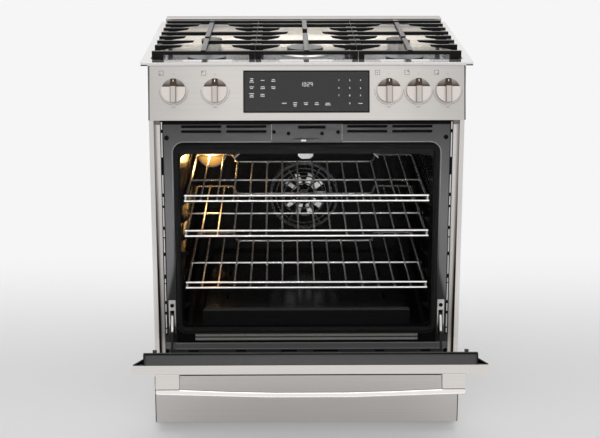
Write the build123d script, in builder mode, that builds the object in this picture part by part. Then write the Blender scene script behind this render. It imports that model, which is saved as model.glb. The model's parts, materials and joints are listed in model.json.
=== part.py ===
from build123d import *
from math import atan2, cos, radians, sin
import os

# Gas range with front controls, three cast iron grates, a convection oven whose door stands open, and
# a drawer below it. X runs to the right seen from the front, Y to the back and Z up. The origin is on
# the floor, in the middle between the side panels and between the oven's front frame and the rear.

os.makedirs("parts", exist_ok=True)

# Body
BODY_WIDTH = 760.0  # over the side panels
BODY_DEPTH = 640.0  # oven front frame to rear panel
TOP_HEIGHT = 932.0  # floor to the cooktop's edge
SHEET = 1.5  # sheet metal
FIT = 0.3  # gap between pieces that move past each other
RUN = 0.05  # radial gap of a shaft in its bearing
HALF_WIDTH = BODY_WIDTH / 2
FRONT_Y = -BODY_DEPTH / 2
REAR_Y = BODY_DEPTH / 2
INNER_HALF = HALF_WIDTH - SHEET
TOP_UNDER = TOP_HEIGHT - SHEET

# Feet and base frame
FOOT_HEIGHT = 30.0
FOOT_RADIUS = 20.0
FOOT_PAD = 8.0
FOOT_STEM = 5.0
FOOT_NUT = 9.0
FOOT_INSET = 19.0
BASE_FLANGE = 38.0
BASE_HEIGHT = 18.0
BASE_SHEET = 2.0
BASE_SETBACK = 20.0
BASE_FRONT = FRONT_Y + BASE_SETBACK
BASE_REAR = REAR_Y - SHEET
BASE_DEPTH = BASE_REAR - BASE_FRONT
BASE_MID = (BASE_REAR + BASE_FRONT) / 2
BASE_FLOOR = FOOT_HEIGHT + BASE_SHEET

# Side panels, with the two formed strips of their front edge
PANEL_FOOT = 14.0
EDGE_OUT = 8.0  # how far the outer strip stands in front of the frame
EDGE_STRIP = 11.5
GROOVE = 4.0
TRIM_STRIP = 11.0
TRIM_OUT = 6.0
EDGE_Y = FRONT_Y - EDGE_OUT
TRIM_X = HALF_WIDTH - EDGE_STRIP - GROOVE - TRIM_STRIP

# Heights, from the drawer up to the control panel
DRAWER_BOTTOM = 27.0
DRAWER_HEIGHT = 125.0
HINGE_ABOVE_DRAWER = 18.0
FRAME_ABOVE_HINGE = 30.0
MOUTH_ABOVE_HINGE = 75.0
PANEL_HEIGHT = 131.9
MOUTH_BELOW_PANEL = 67.6
FRAME_BEHIND_PANEL = 16.4
DOOR_BELOW_PANEL = 24.0
DRAWER_TOP = DRAWER_BOTTOM + DRAWER_HEIGHT
HINGE_Z = DRAWER_TOP + HINGE_ABOVE_DRAWER
PANEL_BOTTOM = TOP_UNDER - PANEL_HEIGHT

# Oven front frame
FRAME_TOP = PANEL_BOTTOM + FRAME_BEHIND_PANEL
FRAME_BOTTOM = HINGE_Z + FRAME_ABOVE_HINGE
FRAME_SHEET = 2.0
FRAME_LAP = 12.0
FRAME_HALF = TRIM_X + FRAME_LAP
MOUTH_MARGIN = 56.0
MOUTH_WIDTH = BODY_WIDTH - 2 * MOUTH_MARGIN
MOUTH_TOP = PANEL_BOTTOM - MOUTH_BELOW_PANEL
MOUTH_BOTTOM = HINGE_Z + MOUTH_ABOVE_HINGE
MOUTH_RADIUS = 25.0
LIP_DROP = 28.0  # enamelled lip below the mouth, with two pressed ribs
LIP_RIBS = (0.3, 0.65)
LIP_RIB = 5.0
LIP_RIB_SIDE = 48.0
MOUTH_MID = (MOUTH_TOP + MOUTH_BOTTOM) / 2
VENT_LENGTH = 98.0
VENT_HEIGHT = 7.0
VENT_ABOVE_MOUTH = 27.7
VENT_ROW = 12.3
VENT_SIDE = 69.0  # from the mouth's side to the outer slot's middle
VENT_PITCH = 109.0
VENT_ROWS = (MOUTH_TOP + VENT_ABOVE_MOUTH, MOUTH_TOP + VENT_ABOVE_MOUTH + VENT_ROW)
VENT_OUTER = MOUTH_WIDTH / 2 - VENT_SIDE
VENT_CENTRES = (VENT_OUTER - VENT_PITCH, VENT_OUTER)
FRAME_BACK = FRONT_Y + FRAME_SHEET

# Oven cavity
CAVITY_INSET = 16.0  # from the mouth's side to the cavity's wall
CAVITY_DROP = 28.0
CAVITY_STEP = 20.0
CAVITY_REAR_ROOM = 120.0  # behind the cavity, for the insulation, the motor and the supply pipe
CAVITY_RADIUS = 20.0
CAVITY_LIP = 4.0  # how far the flange reaches behind the frame, past the mouth
CAVITY_WIDTH = MOUTH_WIDTH - 2 * CAVITY_INSET
CAVITY_TOP = MOUTH_TOP - CAVITY_DROP
CAVITY_FLOOR = MOUTH_BOTTOM + CAVITY_STEP
CAVITY_DEPTH = BODY_DEPTH - CAVITY_REAR_ROOM
CAVITY_HALF = CAVITY_WIDTH / 2
CAVITY_MID = (CAVITY_TOP + CAVITY_FLOOR) / 2
CAVITY_HEIGHT = CAVITY_TOP - CAVITY_FLOOR
BACK_WALL = FRAME_BACK + CAVITY_DEPTH
WELL_MARGIN = 68.0  # burner well below the oven floor
WELL_DROP = 60.0
WELL_WIDTH = CAVITY_WIDTH - 2 * WELL_MARGIN
WELL_DEPTH = CAVITY_DEPTH - 2 * WELL_MARGIN
WELL_FLOOR = CAVITY_FLOOR - WELL_DROP
WELL_MID = (FRAME_BACK + BACK_WALL) / 2
INSULATION = 30.0
INSULATION_SETBACK = 28.0
FLOOR_SHEET = 2.0
FLOOR_SIDE = 48.0
FLOOR_END = 20.0
FLOOR_RISE = 36.0
FLOOR_EDGE = 6.0
FLOOR_SLOT = 60.0
FLOOR_SLOTS = 4

# Door seal and latch
DOOR_GAP = 14.0  # frame to the closed door's inner face
SEAL_WIDTH = 12.0
SEAL_GAP = 2.0
LATCH_WIDTH = 172.0
LATCH_HEIGHT = 46.0
LATCH_ABOVE_MOUTH = 23.5
LATCH_MID = MOUTH_TOP + LATCH_ABOVE_MOUTH
LATCH_SLOT = 60.0
LATCH_SLOT_HEIGHT = 5.0
LATCH_WINDOW = 68.0
LATCH_WINDOW_HEIGHT = 8.0
LATCH_WINDOW_X = 12.0
LATCH_WINDOW_UP = 15.0
HOOK_X = -8.0
HOOK_ABOVE_MOUTH = 10.0
HOOK_Z = MOUTH_TOP + HOOK_ABOVE_MOUTH
HOOK_WIDTH = 12.0
HOOK_HEIGHT = 3.6
HOOK_ENTRY = 8.0  # how far the hook reaches into the closed door
HOOK_REACH = DOOR_GAP + HOOK_ENTRY
HOOK_TRAVEL = 12.0
HOOK_BACK = 16.0

# Oven fan, lamp and burners
FAN_ABOVE_FLOOR = 203.0
FAN_Z = CAVITY_FLOOR + FAN_ABOVE_FLOOR
FAN_RADIUS = 62.0
FAN_BLADES = 10
FAN_WIDTH = 16.0
FAN_STANDOFF = 6.0
FAN_SHAFT = 4.0
FAN_HUB = 12.0
BLADE_LENGTH = 31.0
BLADE_CHORD = 17.0
BLADE_RIM = 2.0  # from the blades' ends to the wheel's rim
BLADE_TILT = 42.0
COVER_RADIUS = 95.0
COVER_DEPTH = 30.0
COVER_RINGS = [share * COVER_RADIUS for share in (0.95, 0.82, 0.59, 0.38)]
COVER_WIRE = 3.0
COVER_ARMS = 6
COVER_CENTRE = 14.0
MOTOR_RADIUS = 38.0
MOTOR_FLANGE = 50.0
MOTOR_LENGTH = 62.0
LAMP_SIDE = 52.0
LAMP_BELOW_ROOF = 117.0
LAMP_X = LAMP_SIDE - CAVITY_HALF
LAMP_Z = CAVITY_TOP - LAMP_BELOW_ROOF
LAMP_RADIUS = 37.5
LAMP_DOME = 16.0
LAMP_SOCKET = 28.0
LAMP_SOCKET_DEPTH = 48.0
LAMP_FLANGE = 4.0
BURNER_TUBE = 7.0
BURNER_BEND = 50.0
BROIL_HALF = 95.0
BROIL_FRONT = 70.0
REFLECTOR_TOP = 154.0
REFLECTOR_BOTTOM = 177.0
REFLECTOR_DROP = 22.0
REFLECTOR_FRONT = 48.0
REFLECTOR_LENGTH = 333.0
BAKE_DROP = 29.0
BAKE_SIDE = 102.0
BAKE_FRONT_ROOM = 80.0
BAKE_HALF = WELL_WIDTH / 2 - BAKE_SIDE
BAKE_REACH = WELL_DEPTH - BAKE_FRONT_ROOM

# Racks and their guides
RACK_FIRST = 95.2  # oven floor to the lowest rack's front rail
RACK_PITCH = 44.6
RACK_LOW = CAVITY_FLOOR + RACK_FIRST
RACK_STEPS = (0, 3, 5)  # guide steps of the lower, middle and upper rack
GUIDE_STEPS = range(-1, 6)
RACK_SIDE = 11.0
RACK_HALF = CAVITY_HALF - RACK_SIDE
RACK_RAIL = 3.0
RACK_WIRE = 2.2
RACK_SETBACK = 5.0
RACK_REAR_ROOM = 30.0
RACK_FRONT = FRONT_Y + RACK_SETBACK
RACK_DEPTH = CAVITY_DEPTH - RACK_REAR_ROOM
RACK_JOG = 80.0
RACK_JOG_SIDE = 101.0
RACK_JOG_HALF = RACK_HALF - RACK_JOG_SIDE
RACK_JOG_RUN = 12.0
RACK_RISE = 12.0
RACK_RISE_BACK = 6.0
RACK_WIRES = 14
RACK_SPACING = 2 * RACK_HALF / (RACK_WIRES + 0.85)
RACK_CENTRE_WIRES = 4
RACK_CROSS = 208.0
RACK_BEND = 10.0
GUIDE_SHEET = 2.0
GUIDE_REACH = 16.0
GUIDE_EDGE = 5.0
GUIDE_FRONT = 30.0
GUIDE_REAR_ROOM = 50.0
GUIDE_LENGTH = CAVITY_DEPTH - GUIDE_FRONT - GUIDE_REAR_ROOM

# Door, measured along itself from the hinge
DOOR_OPEN = 69.3  # degrees from closed, as it stands
SKIN_DEPTH = 18.5
LINER_DEPTH = 27.0
OUTER_FACE = 8.0  # hinge axis to the outer face
DOOR_SIDE = 7.0  # how far the door stays inside the body's sides
LINER_SIDE = 22.0
LINER_INSET = 2.0
LINER_TAIL = 4.0
LINER_RADIUS = 8.0
DOOR_TAIL = 10.0
DOOR_WIDTH = BODY_WIDTH - 2 * DOOR_SIDE
LINER_WIDTH = DOOR_WIDTH - 2 * LINER_SIDE
DOOR_TOP = PANEL_BOTTOM - DOOR_BELOW_PANEL - HINGE_Z
SKIN_LIP = 18.0
WINDOW_SIDE = 138.0
WINDOW_ABOVE_HINGE = 175.0
WINDOW_BELOW_TOP = 163.0
WINDOW_WIDTH = DOOR_WIDTH - 2 * WINDOW_SIDE
WINDOW_HEIGHT = DOOR_TOP - WINDOW_BELOW_TOP - WINDOW_ABOVE_HINGE
WINDOW_MID = WINDOW_ABOVE_HINGE + WINDOW_HEIGHT / 2
WINDOW_RADIUS = 14.0
GLASS = 4.0
GLASS_MARGIN = 18.0
HINGE_OUT = DOOR_GAP + SKIN_DEPTH + LINER_DEPTH - OUTER_FACE
HINGE_Y = FRONT_Y - HINGE_OUT
JOINT_FACE = OUTER_FACE - SKIN_DEPTH
INNER_FACE = JOINT_FACE - LINER_DEPTH

# Hinges
HINGE_BESIDE_MOUTH = 11.0
HINGE_X = MOUTH_WIDTH / 2 + HINGE_BESIDE_MOUTH
ARM_SHEET = 5.0
ARM_EYE = 5.5
ARM_SLOT = 8.0
PIN_RADIUS = 3.0
CHEEK = 2.0
CHANNEL_LENGTH = 150.0
CHANNEL_WEB_START = 14.0
CHANNEL_FRONT = 4.0
RECEIVER_WIDTH = 17.0
RECEIVER_BELOW_MOUTH = 3.0
RECEIVER_BOTTOM = MOUTH_BOTTOM - RECEIVER_BELOW_MOUTH
RECEIVER_HEIGHT = 88.0
RECEIVER_TOP = RECEIVER_BOTTOM + RECEIVER_HEIGHT
RECEIVER_SLOT = 6.0
RECEIVER_SLOT_FOOT = 12.0
RECEIVER_SLOT_HEIGHT = 46.0
RECEIVER_SLOT_BOTTOM = RECEIVER_BOTTOM + RECEIVER_SLOT_FOOT
RECEIVER_SLOT_TOP = RECEIVER_SLOT_BOTTOM + RECEIVER_SLOT_HEIGHT
RECEIVER_WALL = 2.5
RECEIVER_DEPTH = 20.0
RECEIVER_HOLE = 3.0
RECEIVER_HOLE_DOWN = 14.0
RECEIVER_HOLE_Z = RECEIVER_TOP - RECEIVER_HOLE_DOWN
CLAW_HEIGHT = 36.0
CLAW_DEPTH = 18.0

# Handle
HANDLE_INSET = 48.0
HANDLE_HALF = DOOR_WIDTH / 2 - HANDLE_INSET
BRACKET_WIDTH = 50.0
BRACKET_HEIGHT = 24.0
HANDLE_STANDOFF = 31.0
BAR_HEIGHT = 20.0
BAR_DEPTH = 11.5
BAR_BOW = 7.0
BAR_DROP = 2.0

# Drawer
DRAWER_SIDE = 2.0
DRAWER_WIDTH = BODY_WIDTH - 2 * DRAWER_SIDE
DRAWER_FRONT_DEPTH = 50.0
DRAWER_GAP = 2.0
BOX_SIDE = 62.0
BOX_HALF = HALF_WIDTH - BOX_SIDE
BOX_REAR_ROOM = 60.0
BOX_LENGTH = BODY_DEPTH - BOX_REAR_ROOM
BOX_LIFT = 4.0
BOX_BELOW_FRONT = 2.0
RUNNER_WIDTH = 14.0
RUNNER_HEIGHT = 14.0
RUNNER_LIFT = 12.0
RAIL_FOOT = 18.0
DRAWER_FACE = EDGE_Y - DRAWER_GAP - DRAWER_FRONT_DEPTH
BOX_FRONT = DRAWER_FACE + SHEET
BOX_BOTTOM = FOOT_HEIGHT + BASE_HEIGHT + BOX_LIFT
BOX_HEIGHT = DRAWER_TOP - BOX_BELOW_FRONT - BOX_BOTTOM
RUNNER_BOTTOM = BOX_BOTTOM + RUNNER_LIFT

# Cooktop
FLANGE_OVERHANG = 15.0
FLANGE_WIDTH = BODY_WIDTH + 2 * FLANGE_OVERHANG
FLANGE_LIP = 8.0
FLANGE_FRONT = 28.5  # how far the edge stands in front of the oven frame
PAN_DEPTH = 40.0
PAN_SIDE = 4.0
PAN_WIDTH = BODY_WIDTH - 2 * PAN_SIDE
PAN_SETBACK = 12.0
PAN_REAR_ROOM = 80.0
PAN_FRONT = FRONT_Y + PAN_SETBACK
PAN_LENGTH = BODY_DEPTH - PAN_SETBACK - PAN_REAR_ROOM
PAN_RADIUS = 16.0
PAN_TOP = TOP_HEIGHT - PAN_DEPTH
PAN_UNDER = PAN_TOP - SHEET
FLANGE_Y = FRONT_Y - FLANGE_FRONT
FLANGE_LENGTH = REAR_Y - FLANGE_Y
TRIM_SIDE = 1.0
TRIM_WIDTH = BODY_WIDTH - 2 * TRIM_SIDE
TRIM_DEPTH = 42.0
TRIM_HEIGHT = 18.0
TRIM_SETBACK = 15.0
TRIM_SLOTS = 9
TRIM_BRIDGE = 28.0
TRIM_SLOT = TRIM_WIDTH / TRIM_SLOTS - TRIM_BRIDGE
TRIM_SLOT_HEIGHT = 7.0

# Grates, whose rows of fingers also place the burners
GRATE_RISE = 19.0
GRATE_TOP = TOP_HEIGHT + GRATE_RISE
GRATE_FRONT_ROOM = 9.0
GRATE_REAR_ROOM = 28.0
GRATE_FRONT = PAN_FRONT + GRATE_FRONT_ROOM
GRATE_LENGTH = PAN_LENGTH - GRATE_FRONT_ROOM - GRATE_REAR_ROOM
GRATE_EDGE = 4.3
GRATE_GAP = 1.2
GRATE_PITCH = (PAN_WIDTH - 2 * GRATE_EDGE) / 3
GRATE_WIDTH = GRATE_PITCH - GRATE_GAP
GRATE_BAR = 10.0
BAR_TALL = 9.0
GRATE_RAIL = 13.0
RAIL_TOP = 7.0  # below the grate's top
RAIL_BOTTOM = 16.0
FINGER_WIDTH = 9.0
FINGER_ROOT = 12.0
FINGER_TIP = 5.0
SHORT_TIP = 64.0  # finger tips, from the grate's middle line
LONG_TIP = 43.0
OUTER_SHORT_TIP = 55.0
OUTER_LONG_TIP = 30.0
GRATE_ROWS = 6
ROW_FRONT = 95.0
ROW_REAR = 66.0
GRATE_ROW = (GRATE_LENGTH - ROW_FRONT - ROW_REAR) / (GRATE_ROWS - 1)
GRATE_FIRST_ROW = GRATE_FRONT + ROW_FRONT
SPINE_WIDTH = 12.0
SPINE_RISE = 2.0
SPINE_GAP = 27.0
SPINE_WIDE_GAP = GRATE_ROW
FOOT_WIDTH = 14.0
FOOT_WIDE = 28.0
FOOT_TAPER = 3.0

# Burners: place, cap radius and head radius
SIDE_X = GRATE_PITCH
FRONT_BURNER_Y = GRATE_FIRST_ROW + GRATE_ROW
CENTRE_BURNER_Y = GRATE_FIRST_ROW + 3 * GRATE_ROW
REAR_BURNER_Y = GRATE_FIRST_ROW + 5 * GRATE_ROW
BURNERS = (
    (-SIDE_X, FRONT_BURNER_Y, 48.0, 39.0),
    (-SIDE_X, REAR_BURNER_Y, 28.0, 24.0),
    (0.0, CENTRE_BURNER_Y, 47.0, 42.0),
    (SIDE_X, FRONT_BURNER_Y, 48.0, 39.0),
    (SIDE_X, REAR_BURNER_Y, 28.0, 24.0),
)
SPREADER = 63.0  # outer flame ring of the centre burner
SPREADER_HEIGHT = 7.0
SPREADER_GROOVE = 9.0
HEAD_HEIGHT = 12.0
HEAD_RIM = 6.0
HEAD_PORTS = 10
PORT_WIDTH = 3.0
PORT_HEIGHT = 5.0
CAP_HEIGHT = 8.0
CAP_EDGE = 3.0
HOLDER_HEIGHT = 30.0
HOLDER_RADIUS = 20.0
THROAT = 14.0
IGNITER_RADIUS = 2.5
IGNITER_GAP = 5.0
IGNITER_HEIGHT = 9.0

# Control panel, which leans back
PANEL_SIDE = 4.0
PANEL_WIDTH = BODY_WIDTH - 2 * PANEL_SIDE
PANEL_TOP_OUT = 24.0
PANEL_BOTTOM_OUT = 60.0
DISPLAY_X = -1.5
DISPLAY_SIDE = 226.75  # room for the knobs at each side
DISPLAY_WIDTH = PANEL_WIDTH - 2 * DISPLAY_SIDE
DISPLAY_HEIGHT = 99.5
DISPLAY_DROP = 0.0
DISPLAY_GLASS = 4.0
DISPLAY_PROUD = 1.0
BOARD_SIDE = 11.0
BOARD_WIDTH = DISPLAY_WIDTH - 2 * BOARD_SIDE
BOARD_HEIGHT = 78.0
BOARD_SHEET = 2.0
BOARD_BACK = 16.0
BOARD_POST = 4.0
RELAY_SIZE = 22.0
KNOBS_FROM_LEFT = (60.0, 158.0)  # knob centres, from the panel's ends
KNOBS_FROM_RIGHT = (182.0, 112.0, 42.0)
KNOB_X = [end - PANEL_WIDTH / 2 for end in KNOBS_FROM_LEFT]
KNOB_X += [PANEL_WIDTH / 2 - end for end in KNOBS_FROM_RIGHT]
KNOB_RISE = 2.0
KNOB_RADIUS = 28.5
KNOB_GAP = 4.0
KNOB_SKIRT = 7.0
KNOB_FACE = 6.0
KNOB_STEP = 9.0  # height of the face's upper edge above the knob's middle
GRIP_WIDTH = 14.0
GRIP_HEIGHT = 18.0
GRIP_TOE = 4.0  # what is left of the grip's height at the knob's upper edge
STEM_RADIUS = 4.0
STEM_FLAT = 2.6
STEM_OUT = 16.0
STEM_IN = 58.0
STEM_END_ROOM = 4.5
STEM_HOLE = 7.0
PANEL_SLOPE = atan2(PANEL_BOTTOM_OUT - PANEL_TOP_OUT, PANEL_HEIGHT)
PANEL_MID_Y = FRONT_Y - (PANEL_TOP_OUT + PANEL_BOTTOM_OUT) / 2
PANEL_MID_Z = (TOP_UNDER + PANEL_BOTTOM) / 2

# Gas supply
VALVE_WIDTH = 26.0
VALVE_HEIGHT = 28.0
VALVE_FRONT = 35.0
VALVE_LENGTH = 40.0
VALVE_BORE_ROOM = 2.0
MANIFOLD = 20.0
SUPPLY_RADIUS = 8.0
SUPPLY_SIDE = 32.5
SUPPLY_X = INNER_HALF - SUPPLY_SIDE
SUPPLY_BEND = 30.0
SUPPLY_REAR = 30.0
REGULATOR_SIZE = 56.0
REGULATOR_TOP = 150.0
REGULATOR_CAP = 22.0
REGULATOR_CAP_LENGTH = 18.0
INLET_RADIUS = 15.0
INLET_OUT = 20.0
INLET_BORE = 9.3
INLET_THREAD = 16.0
INLET_CLEAR = 1.0

# Rear panel
REAR_VENTS = 8
REAR_VENT_PITCH = BODY_WIDTH / (REAR_VENTS + 1)
REAR_BRIDGE = 24.0
REAR_VENT = REAR_VENT_PITCH - REAR_BRIDGE
REAR_VENT_HEIGHT = 8.0
REAR_VENT_DOWN = 82.0
REAR_VENT_Z = TOP_HEIGHT - REAR_VENT_DOWN


def level(z):
    """Horizontal plane at a height."""
    return Plane.XY.offset(z)


def front_plane(y):
    """Upright plane across the range, facing the front. Its X is the range's X and its Y is up."""
    return Plane(origin=(0, y, 0), x_dir=(1, 0, 0), z_dir=(0, -1, 0))


def side_plane(x):
    """Upright plane along the range, facing right. Its X is the range's Y and its Y is up."""
    return Plane.YZ.offset(x)


# The door's own plane at its hinge axis: X to the right, Y from the hinge to the handle, Z outwards.
door_angle = radians(DOOR_OPEN)
door_plane = Plane(
    origin=(0, HINGE_Y, HINGE_Z),
    x_dir=(1, 0, 0),
    z_dir=(0, -cos(door_angle), -sin(door_angle)),
)

# The control panel's own plane at the middle of its face: X to the right, Y up the slope, Z outwards.
panel_plane = Plane(
    origin=(0, PANEL_MID_Y, PANEL_MID_Z),
    x_dir=(1, 0, 0),
    z_dir=(0, -cos(PANEL_SLOPE), sin(PANEL_SLOPE)),
)

# Base frame: a folded ring of angle section that carries the feet
foot_x = INNER_HALF - FOOT_INSET
foot_y = BASE_DEPTH / 2 - FOOT_INSET
with BuildPart() as base_frame:
    with BuildSketch(level(FOOT_HEIGHT)):
        with Locations((0, BASE_MID)):
            Rectangle(2 * INNER_HALF, BASE_DEPTH)
            Rectangle(2 * (INNER_HALF - BASE_FLANGE), BASE_DEPTH - 2 * BASE_FLANGE, mode=Mode.SUBTRACT)
            with GridLocations(2 * foot_x, 2 * foot_y, 2, 2):
                Circle(FOOT_STEM + FIT, mode=Mode.SUBTRACT)
    extrude(amount=BASE_SHEET)
    with BuildSketch(level(FOOT_HEIGHT)):
        with Locations((0, BASE_MID)):
            Rectangle(2 * INNER_HALF, BASE_DEPTH)
            Rectangle(2 * (INNER_HALF - BASE_SHEET), BASE_DEPTH - 2 * BASE_SHEET, mode=Mode.SUBTRACT)
    extrude(amount=BASE_HEIGHT)
base_frame.part.label = "base_frame"
export_step(base_frame.part, "parts/base_frame.step")

# Levelling feet: a round pad, a threaded stem and the nut under the frame
with BuildPart() as leveling_feet:
    with BuildSketch(level(0)):
        with Locations((0, BASE_MID)):
            with GridLocations(2 * foot_x, 2 * foot_y, 2, 2):
                Circle(FOOT_RADIUS)
    extrude(amount=FOOT_PAD)
    with BuildSketch(level(FOOT_PAD)):
        with Locations((0, BASE_MID)):
            with GridLocations(2 * foot_x, 2 * foot_y, 2, 2):
                Circle(FOOT_STEM)
    extrude(amount=FOOT_HEIGHT + BASE_HEIGHT / 2 - FOOT_PAD)
    with BuildSketch(level(FOOT_HEIGHT - FOOT_NUT / 2)):
        with Locations((0, BASE_MID)):
            with GridLocations(2 * foot_x, 2 * foot_y, 2, 2):
                RegularPolygon(FOOT_NUT, 6)
    extrude(amount=FOOT_NUT / 2)
leveling_feet.part.label = "leveling_feet"
export_step(leveling_feet.part, "parts/leveling_feet.step")

# Side panels: one roll-formed section from the rear edge to the two strips beside the oven
half_sheet = SHEET / 2
edge_x = HALF_WIDTH - EDGE_STRIP
section = (
    (HALF_WIDTH - half_sheet, BASE_REAR),
    (HALF_WIDTH - half_sheet, EDGE_Y + half_sheet),
    (edge_x + half_sheet, EDGE_Y + half_sheet),
    (edge_x + half_sheet, FRONT_Y - half_sheet),
    (edge_x - GROOVE - half_sheet, FRONT_Y - half_sheet),
    (edge_x - GROOVE - half_sheet, FRONT_Y - TRIM_OUT + half_sheet),
    (TRIM_X + half_sheet, FRONT_Y - TRIM_OUT + half_sheet),
    (TRIM_X + half_sheet, FRONT_Y),
)
for side, sign in (("left", -1), ("right", 1)):
    with BuildPart() as side_panel:
        with BuildSketch(level(PANEL_FOOT)):
            with BuildLine():
                Polyline(*[(sign * x, y) for x, y in section])
            trace(line_width=SHEET)
        extrude(amount=TOP_UNDER - PANEL_FOOT)
    side_panel.part.label = f"side_panel_{side}"
    export_step(side_panel.part, f"parts/side_panel_{side}.step")

# Rear panel with its vent slots and the hole for the gas inlet
inlet_z = REGULATOR_TOP - REGULATOR_SIZE / 2
with BuildPart() as rear_panel:
    with BuildSketch(front_plane(REAR_Y)):
        with Locations((0, BASE_FLOOR)):
            Rectangle(BODY_WIDTH, TOP_HEIGHT - FLANGE_LIP - BASE_FLOOR, align=(Align.CENTER, Align.MIN))
        with Locations((0, REAR_VENT_Z)):
            with GridLocations(REAR_VENT_PITCH, 3 * REAR_VENT_HEIGHT, REAR_VENTS, 2):
                SlotOverall(REAR_VENT, REAR_VENT_HEIGHT, mode=Mode.SUBTRACT)
        with Locations((SUPPLY_X, inlet_z)):
            Circle(INLET_RADIUS + INLET_CLEAR, mode=Mode.SUBTRACT)
    extrude(amount=SHEET)
rear_panel.part.label = "rear_panel"
export_step(rear_panel.part, "parts/rear_panel.step")

# Oven front frame with its mouth, vent slots, latch slots and hinge slots
pocket_width = RECEIVER_SLOT + 2 * RECEIVER_WALL
pocket_height = RECEIVER_SLOT_TOP - RECEIVER_SLOT_BOTTOM + 2 * RECEIVER_WALL
pocket_mid = (RECEIVER_SLOT_TOP + RECEIVER_SLOT_BOTTOM) / 2
with BuildPart() as front_frame:
    with BuildSketch(front_plane(FRONT_Y)):
        with Locations((0, (FRAME_TOP + FRAME_BOTTOM) / 2)):
            Rectangle(2 * FRAME_HALF, FRAME_TOP - FRAME_BOTTOM)
        with Locations((0, MOUTH_MID)):
            RectangleRounded(MOUTH_WIDTH, MOUTH_TOP - MOUTH_BOTTOM, MOUTH_RADIUS, mode=Mode.SUBTRACT)
        with Locations([(s * x, z) for s in (-1, 1) for x in VENT_CENTRES for z in VENT_ROWS]):
            SlotOverall(VENT_LENGTH, VENT_HEIGHT, mode=Mode.SUBTRACT)
        with Locations((HOOK_X + HOOK_TRAVEL / 2, HOOK_Z)):
            Rectangle(LATCH_SLOT, LATCH_SLOT_HEIGHT, mode=Mode.SUBTRACT)
        with Locations((LATCH_WINDOW_X, LATCH_MID + LATCH_WINDOW_UP)):
            SlotOverall(LATCH_WINDOW, LATCH_WINDOW_HEIGHT, mode=Mode.SUBTRACT)
        with Locations((0, MOUTH_BOTTOM - LIP_DROP)):
            Rectangle(
                MOUTH_WIDTH,
                LIP_DROP + MOUTH_RADIUS,
                align=(Align.CENTER, Align.MIN),
                mode=Mode.SUBTRACT,
            )
        with Locations((-HINGE_X, pocket_mid), (HINGE_X, pocket_mid)):
            Rectangle(pocket_width + 2 * FIT, pocket_height + 2 * FIT, mode=Mode.SUBTRACT)
    extrude(amount=-FRAME_SHEET)
front_frame.part.label = "front_frame"
export_step(front_frame.part, "parts/front_frame.step")

# Oven cavity: a rounded box with a flange behind the frame and a well for the bake burner
with BuildPart() as oven_cavity:
    with BuildSketch(front_plane(FRAME_BACK)):
        with Locations((0, CAVITY_MID)):
            RectangleRounded(CAVITY_WIDTH + 2 * SHEET, CAVITY_HEIGHT + 2 * SHEET, CAVITY_RADIUS + SHEET)
    extrude(amount=-(CAVITY_DEPTH + SHEET))
    with BuildSketch(front_plane(FRAME_BACK)):
        with Locations((0, MOUTH_MID)):
            RectangleRounded(
                MOUTH_WIDTH + 2 * CAVITY_LIP,
                MOUTH_TOP - MOUTH_BOTTOM + 2 * CAVITY_LIP,
                MOUTH_RADIUS + CAVITY_LIP,
            )
        with Locations((0, MOUTH_BOTTOM - LIP_DROP - CAVITY_LIP)):
            Rectangle(
                MOUTH_WIDTH + 2 * CAVITY_LIP,
                LIP_DROP + CAVITY_LIP + MOUTH_RADIUS,
                align=(Align.CENTER, Align.MIN),
            )
    extrude(amount=-SHEET)
    with BuildSketch(front_plane(FRAME_BACK)):
        with Locations([(0, MOUTH_BOTTOM - LIP_DROP * share) for share in LIP_RIBS]):
            SlotOverall(MOUTH_WIDTH - 2 * LIP_RIB_SIDE, LIP_RIB)
    extrude(amount=FRAME_SHEET)
    with BuildSketch(level(WELL_FLOOR - SHEET)):
        with Locations((0, WELL_MID)):
            RectangleRounded(WELL_WIDTH + 2 * SHEET, WELL_DEPTH + 2 * SHEET, CAVITY_RADIUS + SHEET)
    extrude(amount=CAVITY_FLOOR - WELL_FLOOR + SHEET)
    with BuildSketch(front_plane(FRAME_BACK)):
        with Locations((0, CAVITY_MID)):
            RectangleRounded(CAVITY_WIDTH, CAVITY_HEIGHT, CAVITY_RADIUS)
    extrude(amount=-CAVITY_DEPTH, mode=Mode.SUBTRACT)
    with BuildSketch(level(WELL_FLOOR)):
        with Locations((0, WELL_MID)):
            RectangleRounded(WELL_WIDTH, WELL_DEPTH, CAVITY_RADIUS)
    extrude(amount=CAVITY_FLOOR - WELL_FLOOR, mode=Mode.SUBTRACT)
    with BuildSketch(front_plane(BACK_WALL)):
        with Locations((0, FAN_Z)):
            Circle(FAN_SHAFT + 4 * SHEET)
        with Locations((LAMP_X, LAMP_Z)):
            Circle(LAMP_SOCKET + FIT)
    extrude(amount=-2 * SHEET, mode=Mode.SUBTRACT)
oven_cavity.part.label = "oven_cavity"
export_step(oven_cavity.part, "parts/oven_cavity.step")

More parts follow.
